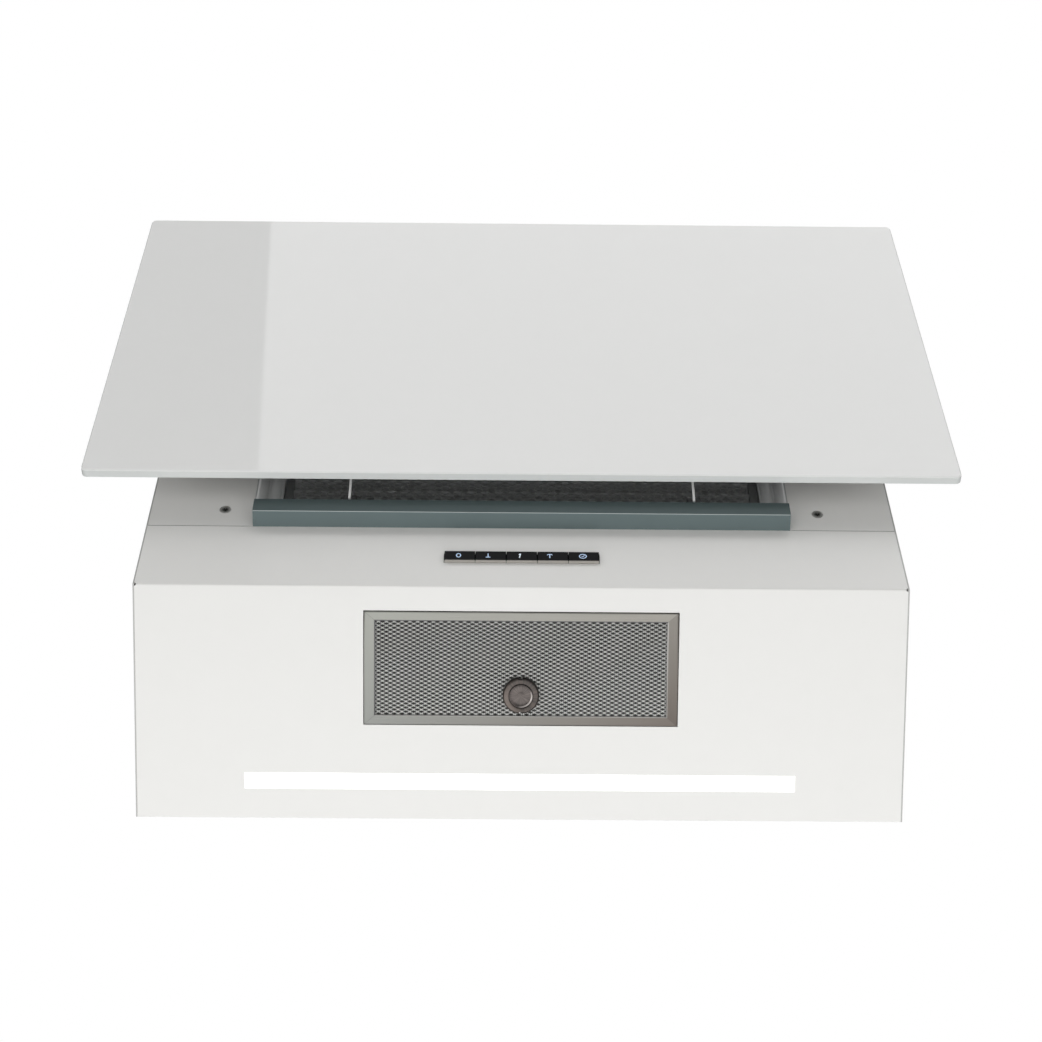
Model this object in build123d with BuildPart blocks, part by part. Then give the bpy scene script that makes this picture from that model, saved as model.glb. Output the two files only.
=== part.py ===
from build123d import *
import math
import os

# Wall-hung inclined range hood, millimetres. X runs along the wall, Y points at the wall, Z is up.
# The origin is the middle of the four wall holes, on the wall face.
# Housing
body_width = 508.0
body_height = 345.0
under_depth = 156.0
slope_angle = 57.4
sheet = 1.0
hex_sides = 6
fold_radius = 1.6
flange_height = 15.0
wall_hole_height = 225.0
wall_hole_spacing_x = 300.0
wall_hole_spacing_z = 150.0
wall_hole_radius = 4.0
relief_radius = 1.2

# Front panel
panel_width = 600.0
panel_overhang = 6.98
glass_thickness = 6.0
glass_corner_radius = 4.0
glass_edge = 0.8
panel_start = 86.5
panel_gap = 20.3
panel_frame_side_margin = 65.0
panel_frame_bar = 30.0
panel_frame_depth = 6.0
panel_frame_wall = 1.2
panel_frame_low_margin = 11.5
panel_frame_high_margin = 24.5

# Panel hinges and catches
hinge_height = 8.5
hinge_margin = 4.5
hinge_pin_radius = 3.0
hinge_pin_head = 1.2
ear_foot = 4.0
hinge_ear_radius = 6.0
hinge_ear_thickness = 3.0
hinge_ear_gap = 14.0
hinge_base_length = 24.0
hinge_base_thickness = 2.0
catch_spacing = 235.0
blade_thickness = 1.5
catch_slot = 2.1
catch_width = 9.0
catch_depth = 8.0
catch_wall = 1.8
catch_drop = 1.4
blade_clearance = 0.5
blade_foot_inset = 4.0
blade_foot_width = 12.0
blade_foot_length = 20.0
hinge_base_width = 24.0

# Seam, rail and the screws of the upper front plate
seam_along = 59.6
seam_gap = 0.6
rail_width = 364.0
rail_height = 10.8
rail_depth = 16.4
rail_lean = 4.0
rail_wall = 1.5
rail_edge_radius = 0.8
plate_screw_spacing = 405.4
plate_screw_setback = 17.7
tab_width = 22.0
tab_length = 26.0
screw_head_angle = 140.0
screw_slot_length = 4.2
screw_slot_width = 0.9
screw_slot_depth = 0.5
screw_head_radius = 4.0
screw_shank_radius = 2.0
screw_length = 9.0

# Main filter and the frame it sits in
intake_frame_margin = 11.8
intake_flange = 1.0
filter_pocket_width = 328.6
pocket_inset = 8.6
pocket_top_margin = 31.32
filter_clearance = 0.4
pocket_wall = 2.0
pocket_depth = 13.0
pocket_ledge = 4.0
bead_radius = 4.8
bead_height = 3.0
main_filter_depth = 8.0
main_filter_bar = 5.5
main_filter_sink = 2.2
main_filter_travel = 10.0
pleat_pitch = 12.0
pull_width = 30.0
pull_thickness = 1.2
pull_height = 6.0
media_wall = 1.0

# Keypad
key_count = 5
key_pitch = 20.6
key_length = 9.4
key_gap = 0.3
keypad_along = 28.6
key_proud = 2.2
key_sink = 2.6
key_rim = 1.2
key_edge = 0.3
key_stem_radius = 2.0
key_stem_length = 2.8
key_travel = 1.0
keypad_wall = 1.6
board_thickness = 1.6

# Lamp
lamp_width = 363.8
lamp_depth = 10.5
lamp_start = 125.5
lamp_clearance = 0.15
diffuser_height = 3.0
lamp_channel_wall = 1.5
chip_height = 1.0
chip_size = 3.0
chip_count = 18

# Lower filter
lower_filter_width = 206.0
lower_filter_length = 75.1
lower_filter_start = 16.9
lower_filter_depth = 9.0
lower_filter_side = 7.8
lower_filter_bar = 6.6
lower_filter_gap = 0.6
lower_mesh_thickness = 1.0
diamond_columns = 9
diamond_rows = 5
diamond_web = 1.2
lower_media_thickness = 2.0
lower_filter_wall = 0.8
lower_filter_pocket_wall = 0.8
hinge_block_gap = 1.2
hinge_block_width = 4.0
hinge_block_length = 8.0
hinge_block_height = 4.5
trunnion_radius = 1.2
trunnion_length = 4.0
trunnion_height = 2.4
running_clearance = 0.05
knob_radius = 12.0
knob_disc_radius = 7.8
knob_height = 6.0
knob_setback = 54.7
knob_stem_radius = 3.0
knob_gap = 0.2
knob_edge = 1.0
knob_recess = 3.0
knob_disc_height = 3.4
knob_disc_edge = 0.8
knob_notch = 1.2
knob_plate_radius = 8.0
bush_radius = 5.0
tongue_length = 25.0
tongue_width = 8.0
tongue_thickness = 1.5
tongue_gap = 0.3
tongue_eye = 1.0
catch_setback = 0.6
latch_catch_width = 24.0
catch_reach = 6.0

# Blower
blower_across = 125.0
blower_above = 168.0
impeller_radius = 70.0
impeller_width = 120.0
blade_count = 32
blade_chord = 12.0
blade_wall = 0.8
blade_sweep = 5.0
blade_camber = 0.8
blade_tip_inset = 1.0
impeller_ring = 2.0
impeller_ring_proud = 0.5
hub_radius = 14.0
hub_width = 36.0
scroll_gap = 8.0
scroll_growth = 27.0
scroll_side_gap = 15.0
scroll_wall = 1.5
tongue_angle = math.radians(75)
outlet_across = 92.0
outlet_radius = 74.5
outlet_height = 60.0
outlet_wall = 2.0
outlet_flange = 13.5
outlet_flange_corner = 8.0
outlet_hole_margin = 0.5
motor_radius = 42.0
motor_length = 62.0
shaft_radius = 4.95
motor_edge = 4.0
shaft_end_gap = 1.0
bracket_thickness = 2.0
bracket_rim = 8.0
bracket_lap = 2.0
bracket_land = 1.0
bracket_arm_count = 3
bracket_arm = 10.0
motor_screw_circle = 27.0
motor_screw_radius = 2.0
motor_screw_head = 3.5
motor_screw_length = 8.0
motor_screw_rise = 2.4
flap_thickness = 1.2
flap_clearance = 1.0
flap_pin_radius = 1.5
flap_height = 12.0
flap_pin_gap = 3.4
flap_knuckle_wall = 1.5
flap_rest_gap = 0.2
flap_ledge = 3.0
outlet_screw_radius = 1.75
outlet_screw_head = 3.2
outlet_screw_length = 7.0
outlet_screw_rise = 2.2

# Electrics
control_box_width = 120.0
control_box_height = 80.0
control_box_depth = 34.0
control_box_wall = 2.0
control_box_corner = 5.0
control_box_x = 180.0
control_box_above = 222.0
board_post = 6.0
board_part = 16.0
gland_radius = 9.0
gland_bore_radius = 3.6
gland_length = 22.0
gland_across = 30.0
gland_side = 190.0
gland_hex = 6.0
gland_nut = 4.0
gland_shoulder = 3.0
gland_thread_inset = 1.0
gland_thread_end = 1.0
gland_taper = 12.0

slope = math.radians(slope_angle)
cos_a = math.cos(slope)
sin_a = math.sin(slope)
under_z = -wall_hole_height
top_z = under_z + body_height
fold_y = -under_depth
inner_half = body_width / 2 - sheet
front_length = body_height / sin_a
panel_end = front_length + panel_overhang
panel_length = panel_end - panel_start
panel_frame_width = panel_width - 2 * panel_frame_side_margin
panel_frame_start = panel_start + panel_frame_low_margin
panel_frame_end = panel_end - panel_frame_high_margin
hinge_along = panel_frame_end + hinge_ear_radius
rail_back = seam_along + rail_depth
bead_count = 2
flange_width = filter_pocket_width + 4 * bead_count * bead_radius
hinge_spacing = flange_width + hinge_base_width + 2 * hinge_margin
filter_pocket_start = rail_back + pocket_inset
filter_pocket_end = front_length - pocket_top_margin
plate_screw_along = seam_along + plate_screw_setback
knob_along = lower_filter_start + knob_setback
blade_foot_start = panel_frame_start + blade_foot_inset
scroll_start_radius = impeller_radius + scroll_gap
scroll_inlet_radius = impeller_radius - blade_chord
scroll_width = impeller_width + 2 * scroll_side_gap
outlet_flange_side = 2 * (outlet_radius + outlet_flange)
outlet_hole_side = 2 * (outlet_radius - outlet_wall + outlet_hole_margin)
outlet_screw_spacing = 2 * outlet_radius + outlet_flange
gland_thread_radius = gland_radius - gland_thread_inset

parts_folder = "parts"
os.makedirs(parts_folder, exist_ok=True)


def finish(part, label):
    """Name a finished piece and write it."""
    part.label = label
    export_step(part, os.path.join(parts_folder, label + ".step"))


def on_slope(along, proud):
    """Side-view point (Y, Z), so far up the sloping front from the fold and so far proud of it."""
    return (fold_y - along * cos_a - proud * sin_a, under_z + along * sin_a - proud * cos_a)


def at_height(z, proud):
    """Side-view point of the plane that lies so far proud of the sloping front, at a height."""
    along = (z - under_z + proud * cos_a) / sin_a
    return on_slope(along, proud)


def front_plane(proud):
    """Plane on the sloping front: X across, Y up the slope from the fold, Z out of the front."""
    y, z = on_slope(0, proud)
    return Plane(origin=(0, y, z), x_dir=(1, 0, 0), z_dir=(0, -sin_a, -cos_a))


def cross_plane(along):
    """Section square to the slope: X across, Y out of the front, Z down the slope."""
    return Plane(origin=(0, *on_slope(along, 0)), x_dir=(1, 0, 0), z_dir=(0, cos_a, -sin_a))


def section_plane(x):
    """Side section of the sloping front: X up the slope from the fold, Y out of the front."""
    return Plane(origin=(x, fold_y, under_z), x_dir=(0, -cos_a, sin_a), z_dir=(1, 0, 0))


def under_plane(height):
    """Plane above the underside: X across, Y from the fold towards the wall, Z up."""
    return Plane(origin=(0, fold_y, under_z + height))


def side_plane(x):
    """Vertical section: X towards the wall, Y up, measured from the origin."""
    return Plane(origin=(x, 0, 0), x_dir=(0, 1, 0), z_dir=(1, 0, 0))


# Side panels: flat sheets whose front edge follows the slope.
def side_panel(x):
    """One side sheet, its outer face body_width / 2 from the middle."""
    with BuildPart() as panel:
        with BuildSketch(side_plane(x)):
            with BuildLine():
                Polyline(
                    (0, under_z),
                    (fold_y, under_z),
                    at_height(top_z, 0),
                    (0, top_z),
                    close=True,
                )
            make_face()
        extrude(amount=sheet)
    return panel.part


finish(side_panel(-body_width / 2), "side_panel_left")
finish(side_panel(inner_half), "side_panel_right")

# Back plate: flat sheet on the wall, with its four hanging holes.
with BuildPart() as back_plate:
    with BuildSketch(Plane.XZ):
        with Locations((0, (under_z + top_z) / 2)):
            Rectangle(2 * inner_half, body_height - 2 * sheet)
        with GridLocations(wall_hole_spacing_x, wall_hole_spacing_z, 2, 2):
            Circle(wall_hole_radius, mode=Mode.SUBTRACT)
    extrude(amount=sheet)
finish(back_plate.part, "back_plate")

# Top plate: flat sheet with a square hole under the outlet's flange, and the cable hole.
outlet_y = -outlet_across
gland_y = -gland_across
with BuildPart() as top_plate:
    with BuildSketch(side_plane(-inner_half)):
        with BuildLine():
            Polyline(
                (0, top_z - sheet),
                at_height(top_z - sheet, -sheet),
                at_height(top_z, -sheet),
                (0, top_z),
                close=True,
            )
        make_face()
    extrude(amount=2 * inner_half)
    with BuildSketch(Plane.XY.offset(top_z)):
        with Locations((0, outlet_y)):
            Rectangle(outlet_hole_side, outlet_hole_side)
            with GridLocations(outlet_screw_spacing, outlet_screw_spacing, 2, 2):
                Circle(outlet_screw_radius)
        with Locations((gland_side, gland_y)):
            Circle(gland_thread_radius)
    extrude(amount=-sheet, mode=Mode.SUBTRACT)
finish(top_plate.part, "top_plate")

# Lower shell: one folded sheet, the lower front strip and the underside, with a flange at the wall.
filter_middle = lower_filter_start + lower_filter_length / 2
lamp_middle = lamp_start + lamp_depth / 2
keypad_width = key_count * key_pitch
with BuildPart() as lower_shell:
    with BuildSketch(side_plane(-inner_half)):
        with BuildLine():
            Polyline(
                on_slope(seam_along, 0),
                (fold_y, under_z),
                (0, under_z),
                (0, under_z + sheet),
                (-sheet, under_z + sheet),
                (-sheet, under_z + flange_height),
                (-2 * sheet, under_z + flange_height),
                (-2 * sheet, under_z + sheet),
                at_height(under_z + sheet, -sheet),
                on_slope(seam_along, -sheet),
                close=True,
            )
        make_face()
    extrude(amount=2 * inner_half)
    fold_edges = lower_shell.edges().filter_by(Axis.X).sort_by_distance((0, fold_y, under_z))
    fillet(fold_edges[0], fold_radius)
    fillet(
        lower_shell.edges().filter_by(Axis.X).sort_by_distance((0, *at_height(under_z + sheet, -sheet)))[0],
        fold_radius - sheet,
    )
    with BuildSketch(front_plane(-sheet)):
        with Locations((-plate_screw_spacing / 2, seam_along), (plate_screw_spacing / 2, seam_along)):
            Rectangle(tab_width, 2 * tab_length)
    extrude(amount=-sheet)
    with BuildSketch(under_plane(0)):
        with Locations((0, filter_middle)):
            Rectangle(lower_filter_width + 2 * lower_filter_gap, lower_filter_length + 2 * lower_filter_gap)
        with Locations((0, lamp_middle)):
            Rectangle(lamp_width + 2 * lamp_clearance, lamp_depth + 2 * lamp_clearance)
        with Locations((-inner_half, 0), (inner_half, 0)):
            Circle(relief_radius)
    extrude(amount=2 * sheet, mode=Mode.SUBTRACT)
    with BuildSketch(front_plane(0)):
        with Locations((0, keypad_along)):
            Rectangle(keypad_width + 2 * key_gap, key_length + 2 * key_gap)
        with Locations(
            (-plate_screw_spacing / 2, plate_screw_along), (plate_screw_spacing / 2, plate_screw_along)
        ):
            Circle(screw_shank_radius)
    extrude(amount=-3 * sheet, mode=Mode.SUBTRACT)
finish(lower_shell.part, "lower_shell")

# Upper front plate: sheet on the slope, open behind the glass for the main filter.
pocket_middle = (filter_pocket_start + filter_pocket_end) / 2
pocket_length = filter_pocket_end - filter_pocket_start
with BuildPart() as front_plate:
    with BuildSketch(side_plane(-inner_half)):
        with BuildLine():
            Polyline(
                on_slope(seam_along + seam_gap, 0),
                at_height(top_z, 0),
                at_height(top_z, -sheet),
                on_slope(seam_along + seam_gap, -sheet),
                close=True,
            )
        make_face()
    extrude(amount=2 * inner_half)
    with BuildSketch(front_plane(0)):
        with Locations((0, pocket_middle)):
            Rectangle(filter_pocket_width + 2 * pocket_wall, pocket_length + 2 * pocket_wall)
    extrude(amount=-sheet, mode=Mode.SUBTRACT)
    with Locations(
        front_plane(0) * Location((-plate_screw_spacing / 2, plate_screw_along)),
        front_plane(0) * Location((plate_screw_spacing / 2, plate_screw_along)),
    ):
        CounterSinkHole(screw_shank_radius, screw_head_radius, depth=2 * sheet, counter_sink_angle=screw_head_angle)
finish(front_plate.part, "front_plate")

# Countersunk screws that hold the upper front plate to the tabs of the lower shell.
sink_depth = (screw_head_radius - screw_shank_radius) / math.tan(math.radians(screw_head_angle / 2))
with BuildPart() as plate_screws:
    for side in (-1, 1):
        x = side * plate_screw_spacing / 2
        with BuildSketch(section_plane(x)):
            with BuildLine():
                Polyline(
                    (plate_screw_along, 0),
                    (plate_screw_along + screw_head_radius, 0),
                    (plate_screw_along + screw_shank_radius, -sink_depth),
                    (plate_screw_along + screw_shank_radius, -screw_length),
                    (plate_screw_along, -screw_length),
                    close=True,
                )
            make_face()
        y, z = on_slope(plate_screw_along, 0)
        revolve(axis=Axis((x, y, z), (0, -sin_a, -cos_a)))
        with BuildSketch(front_plane(0)):
            with Locations((x, plate_screw_along)):
                Rectangle(screw_slot_length, screw_slot_width)
                Rectangle(screw_slot_width, screw_slot_length)
        extrude(amount=-screw_slot_depth, mode=Mode.SUBTRACT)
finish(plate_screws.part, "plate_screws")

# Rail below the intake: a hollow profile with a leaning lower face, closed at both ends.
with BuildPart() as intake_rail:
    with BuildSketch(section_plane(-rail_width / 2)):
        with BuildLine():
            Polyline(
                (seam_along, 0),
                (seam_along + rail_lean, rail_height),
                (seam_along + rail_depth, rail_height),
                (seam_along + rail_depth, 0),
                close=True,
            )
        make_face()
    extrude(amount=rail_width)
    crest = intake_rail.edges().filter_by(Axis.X)
    fillet(crest.sort_by_distance((0, *on_slope(seam_along + rail_lean, rail_height)))[0], rail_edge_radius)
    with BuildSketch(section_plane(rail_wall - rail_width / 2)):
        with BuildLine():
            Polyline(
                (seam_along + rail_wall, 0),
                (seam_along + rail_lean + rail_wall, rail_height - rail_wall),
                (seam_along + rail_depth - rail_wall, rail_height - rail_wall),
                (seam_along + rail_depth - rail_wall, 0),
                close=True,
            )
        make_face()
    extrude(amount=rail_width - 2 * rail_wall, mode=Mode.SUBTRACT)
finish(intake_rail.part, "intake_rail")

# Spring catches on the rail's back: a block with a slot that grips the panel's blade.
catch_seat = intake_flange


def catch_clip(side):
    """One catch, its slot open out of the front and up the slope."""
    x = side * catch_spacing / 2
    with BuildPart() as clip:
        with BuildSketch(section_plane(x - catch_width / 2)):
            with BuildLine():
                Polyline(
                    (rail_back, catch_seat),
                    (rail_back, rail_height - catch_drop),
                    (rail_back + catch_depth / 2, rail_height - catch_drop),
                    (rail_back + catch_depth, rail_height - 2 * catch_drop),
                    (rail_back + catch_depth, catch_seat),
                    close=True,
                )
            make_face()
        extrude(amount=catch_width)
        with BuildSketch(section_plane(x - catch_slot / 2)):
            with Locations((rail_back + catch_wall, catch_seat + catch_wall)):
                Rectangle(2 * catch_depth, rail_height, align=(Align.MIN, Align.MIN))
        extrude(amount=catch_slot, mode=Mode.SUBTRACT)
    return clip.part


finish(catch_clip(-1), "catch_clip_left")
finish(catch_clip(1), "catch_clip_right")

# Intake frame: flange on the front plate with two beads down each side, a wall down into the plate
# and a ledge that carries the filter.
intake_frame_end = filter_pocket_end + intake_frame_margin
frame_middle = (rail_back + intake_frame_end) / 2
frame_length = intake_frame_end - rail_back
bead_drop = bead_radius - bead_height
with BuildPart() as intake_frame:
    with BuildSketch(front_plane(0)):
        with Locations((0, frame_middle)):
            Rectangle(flange_width, frame_length)
    extrude(amount=intake_flange)
    with BuildSketch(cross_plane(intake_frame_end)):
        for turn in range(bead_count):
            bead_x = filter_pocket_width / 2 + (2 * turn + 1) * bead_radius
            with Locations((-bead_x, -bead_drop), (bead_x, -bead_drop)):
                Circle(bead_radius)
        Rectangle(flange_width, 2 * bead_radius, align=(Align.CENTER, Align.MAX), mode=Mode.SUBTRACT)
    extrude(amount=frame_length)
    with BuildSketch(front_plane(0)):
        with Locations((0, pocket_middle)):
            Rectangle(filter_pocket_width + 2 * pocket_wall, pocket_length + 2 * pocket_wall)
    extrude(amount=-pocket_depth)
    with BuildSketch(front_plane(bead_radius)):
        with Locations((0, pocket_middle)):
            Rectangle(filter_pocket_width, pocket_length)
    extrude(amount=pocket_wall - pocket_depth - bead_radius, mode=Mode.SUBTRACT)
    with BuildSketch(front_plane(-pocket_depth)):
        with Locations((0, pocket_middle)):
            Rectangle(filter_pocket_width - 2 * pocket_ledge, pocket_length - 2 * pocket_ledge)
    extrude(amount=pocket_wall, mode=Mode.SUBTRACT)
finish(intake_frame.part, "intake_frame")

# Main grease filter: a folded frame round pleated metal, with a tab to pull it out by.
main_filter_top = -main_filter_sink
main_width = filter_pocket_width - 2 * filter_clearance
main_length = pocket_length - 2 * filter_clearance
with BuildPart() as main_filter_frame:
    with BuildSketch(front_plane(main_filter_top)):
        with Locations((0, pocket_middle)):
            Rectangle(main_width, main_length)
            Rectangle(main_width - 2 * main_filter_bar, main_length - 2 * main_filter_bar, mode=Mode.SUBTRACT)
    extrude(amount=-main_filter_depth)
    with BuildSketch(front_plane(main_filter_top)):
        with Locations((0, pocket_middle + main_length / 2)):
            Rectangle(pull_width, pull_thickness, align=(Align.CENTER, Align.MAX))
    extrude(amount=pull_height)
finish(main_filter_frame.part, "main_filter_frame")

media_start = pocket_middle - main_length / 2 + main_filter_bar
media_end = pocket_middle + main_length / 2 - main_filter_bar
pleat_count = int((media_end - media_start) / pleat_pitch)
pleat_step = (media_end - media_start) / (2 * pleat_count)
pleat_high = main_filter_top - media_wall
pleat_low = main_filter_top - main_filter_depth + 2 * media_wall


def pleats(shift):
    """Zigzag from one end of the frame to the other, between its two faces."""
    turns = range(2 * pleat_count + 1)
    return [(media_start + n * pleat_step, (pleat_low if n % 2 else pleat_high) + shift) for n in turns]


with BuildPart() as main_filter_media:
    with BuildSketch(section_plane(main_filter_bar - main_width / 2)):
        with BuildLine():
            Polyline(*pleats(0), *reversed(pleats(-media_wall)), close=True)
        make_face()
    extrude(amount=main_width - 2 * main_filter_bar)
finish(main_filter_media.part, "main_filter_media")

# Front panel: glass with rounded corners and a ground edge.
panel_middle = panel_start + panel_length / 2
with BuildPart() as glass_panel:
    with BuildSketch(front_plane(panel_gap)):
        with Locations((0, panel_middle)):
            RectangleRounded(panel_width, panel_length, glass_corner_radius)
    extrude(amount=glass_thickness)
    chamfer(glass_panel.faces().sort_by(Axis((0, 0, 0), (0, -sin_a, -cos_a)))[-1].edges(), glass_edge)
finish(glass_panel.part, "glass_panel")

# Panel frame: folded channel, its open side bonded to the back of the glass.
panel_frame_middle = (panel_frame_start + panel_frame_end) / 2
panel_frame_length = panel_frame_end - panel_frame_start
panel_frame_back = panel_gap - panel_frame_depth
channel_inset = 2 * panel_frame_wall
with BuildPart() as panel_frame:
    with BuildSketch(front_plane(panel_gap)):
        with Locations((0, panel_frame_middle)):
            Rectangle(panel_frame_width, panel_frame_length)
            Rectangle(
                panel_frame_width - 2 * panel_frame_bar,
                panel_frame_length - 2 * panel_frame_bar,
                mode=Mode.SUBTRACT,
            )
    extrude(amount=-panel_frame_depth)
    with BuildSketch(front_plane(panel_gap)):
        with Locations((0, panel_frame_middle)):
            Rectangle(panel_frame_width - channel_inset, panel_frame_length - channel_inset)
            Rectangle(
                panel_frame_width - 2 * panel_frame_bar + channel_inset,
                panel_frame_length - 2 * panel_frame_bar + channel_inset,
                mode=Mode.SUBTRACT,
            )
    extrude(amount=panel_frame_wall - panel_frame_depth, mode=Mode.SUBTRACT)
finish(panel_frame.part, "panel_frame")


# Catch blades: thin steel plates on the panel frame whose tips enter the catches.
def catch_blade(side):
    """One blade, edge-on from the front, cut back so that the main filter can rise behind it."""
    x = side * catch_spacing / 2
    tip = rail_back + catch_wall + blade_clearance
    low = catch_seat + catch_wall + blade_clearance
    heel = filter_pocket_start - blade_clearance
    neck = main_filter_travel - main_filter_sink + blade_clearance
    with BuildPart() as blade:
        with BuildSketch(section_plane(x - blade_thickness / 2)):
            with BuildLine():
                Polyline(
                    (tip, low),
                    (heel, low),
                    (heel, neck),
                    (blade_foot_start + blade_foot_inset, panel_frame_back - blade_thickness),
                    (blade_foot_start + blade_foot_length, panel_frame_back - blade_thickness),
                    (blade_foot_start + blade_foot_length, panel_frame_back),
                    (blade_foot_start, panel_frame_back),
                    (tip, rail_height),
                    close=True,
                )
            make_face()
        extrude(amount=blade_thickness)
        with BuildSketch(front_plane(panel_frame_back)):
            with Locations((x, blade_foot_start + blade_foot_length / 2)):
                Rectangle(blade_foot_width, blade_foot_length)
        extrude(amount=-blade_thickness)
    return blade.part


finish(catch_blade(-1), "catch_blade_left")
finish(catch_blade(1), "catch_blade_right")


# Panel hinges: a two-eared bracket on the front plate, a pin through it and one ear on the panel.
def hinge_bracket(side):
    """Bracket on the front plate, its ears square to the hinge line."""
    x = side * hinge_spacing / 2
    with BuildPart() as bracket:
        with BuildSketch(front_plane(0)):
            with Locations((x, hinge_along)):
                Rectangle(hinge_base_width, hinge_base_length)
        extrude(amount=hinge_base_thickness)
        for start in (-hinge_ear_gap / 2 - hinge_ear_thickness, hinge_ear_gap / 2):
            with BuildSketch(section_plane(x + start)):
                with Locations((hinge_along, hinge_height)):
                    Circle(hinge_ear_radius)
                with Locations((hinge_along, hinge_base_thickness)):
                    Rectangle(
                        2 * hinge_ear_radius,
                        hinge_height - hinge_base_thickness,
                        align=(Align.CENTER, Align.MIN),
                    )
                with Locations((hinge_along, hinge_height)):
                    Circle(hinge_pin_radius, mode=Mode.SUBTRACT)
            extrude(amount=hinge_ear_thickness)
    return bracket.part


def panel_ear(side):
    """Ear on the panel frame that turns on the pin."""
    x = side * hinge_spacing / 2
    with BuildPart() as ear:
        with BuildSketch(section_plane(x - hinge_ear_thickness / 2)):
            with BuildLine():
                Polyline(
                    (panel_frame_end - panel_frame_bar + ear_foot, panel_frame_back),
                    (panel_frame_end, panel_frame_back),
                    (hinge_along, hinge_height + hinge_ear_radius),
                    (hinge_along, hinge_height - hinge_ear_radius),
                    close=True,
                )
            make_face()
            with Locations((hinge_along, hinge_height)):
                Circle(hinge_ear_radius)
                Circle(hinge_pin_radius + running_clearance, mode=Mode.SUBTRACT)
        extrude(amount=hinge_ear_thickness)
    return ear.part


for side, name in ((-1, "left"), (1, "right")):
    finish(hinge_bracket(side), "hinge_bracket_" + name)
    finish(panel_ear(side), "panel_ear_" + name)

# Headed pins through both ears of each bracket.
pin_reach = hinge_ear_gap / 2 + hinge_ear_thickness
with BuildPart() as hinge_pins:
    for side in (-1, 1):
        x = side * hinge_spacing / 2
        with BuildSketch(section_plane(x - pin_reach)):
            with Locations((hinge_along, hinge_height)):
                Circle(hinge_pin_radius)
        extrude(amount=2 * pin_reach)
        with BuildSketch(section_plane(x + pin_reach)):
            with Locations((hinge_along, hinge_height)):
                Circle(hinge_pin_radius + hinge_pin_head)
        extrude(amount=hinge_pin_head)
finish(hinge_pins.part, "hinge_pins")

# Keypad: four push keys and a display window in one row, in a housing behind the front strip.
key_width = key_pitch - key_gap
board_face = key_sink + key_stem_length + key_travel + key_gap


def key_blank(x, stem_depth):
    """Cap with a hidden rim that keeps it behind the sheet, and a stem towards the board."""
    with BuildPart() as key:
        with BuildSketch(front_plane(key_proud)):
            with Locations((x, keypad_along)):
                Rectangle(key_width, key_length)
        extrude(amount=-key_proud - key_sink)
        with BuildSketch(front_plane(-sheet - key_gap)):
            with Locations((x, keypad_along)):
                Rectangle(key_width, key_length + 2 * key_rim)
        extrude(amount=sheet + key_gap - key_sink)
        with BuildSketch(front_plane(-key_sink)):
            with Locations((x, keypad_along)):
                Circle(key_stem_radius)
        extrude(amount=-stem_depth)
        chamfer(key.faces().sort_by(Axis((0, 0, 0), (0, -sin_a, -cos_a)))[-1].edges(), key_edge)
    return key.part


key_names = ["key_power", "key_slower", "display_window", "key_faster", "key_timer"]
for n, name in enumerate(key_names):
    reach = board_face - key_sink if name == "display_window" else key_stem_length
    finish(key_blank((n - (key_count - 1) / 2) * key_pitch, reach), name)

with BuildPart() as keypad_housing:
    with BuildSketch(front_plane(-sheet)):
        with Locations((0, keypad_along)):
            Rectangle(keypad_width + 4 * keypad_wall, key_length + 2 * key_rim + 4 * keypad_wall)
    extrude(amount=sheet - board_face - board_thickness - keypad_wall)
    with BuildSketch(front_plane(-sheet)):
        with Locations((0, keypad_along)):
            Rectangle(keypad_width + 2 * keypad_wall, key_length + 2 * key_rim + 2 * keypad_wall)
    extrude(amount=sheet - board_face - board_thickness, mode=Mode.SUBTRACT)
finish(keypad_housing.part, "keypad_housing")

with BuildPart() as keypad_board:
    with BuildSketch(front_plane(-board_face)):
        with Locations((0, keypad_along)):
            Rectangle(keypad_width + 2 * keypad_wall, key_length + 2 * key_rim + 2 * keypad_wall)
    extrude(amount=-board_thickness)
finish(keypad_board.part, "keypad_board")

# Lamp: a white diffuser in its slot, a strip of light chips above it and a channel over both.
lamp_board_height = diffuser_height + chip_height
with BuildPart() as lamp_diffuser:
    with BuildSketch(under_plane(0)):
        with Locations((0, lamp_middle)):
            Rectangle(lamp_width, lamp_depth)
    extrude(amount=diffuser_height)
finish(lamp_diffuser.part, "lamp_diffuser")

with BuildPart() as lamp_board:
    with BuildSketch(under_plane(lamp_board_height)):
        with Locations((0, lamp_middle)):
            Rectangle(lamp_width, lamp_depth)
    extrude(amount=board_thickness)
    with BuildSketch(under_plane(diffuser_height)):
        with Locations((0, lamp_middle)):
            with GridLocations(lamp_width / chip_count, 0, chip_count, 1):
                Rectangle(chip_size, chip_size)
    extrude(amount=chip_height)
finish(lamp_board.part, "lamp_board")

with BuildPart() as lamp_channel:
    with BuildSketch(under_plane(sheet)):
        with Locations((0, lamp_middle)):
            Rectangle(
                lamp_width + 2 * lamp_clearance + 2 * lamp_channel_wall,
                lamp_depth + 2 * lamp_clearance + 2 * lamp_channel_wall,
            )
    extrude(amount=lamp_board_height + board_thickness + lamp_channel_wall - sheet)
    with BuildSketch(under_plane(sheet)):
        with Locations((0, lamp_middle)):
            Rectangle(lamp_width + 2 * lamp_clearance, lamp_depth + 2 * lamp_clearance)
    extrude(amount=lamp_board_height + board_thickness - sheet, mode=Mode.SUBTRACT)
finish(lamp_channel.part, "lamp_channel")

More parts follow.
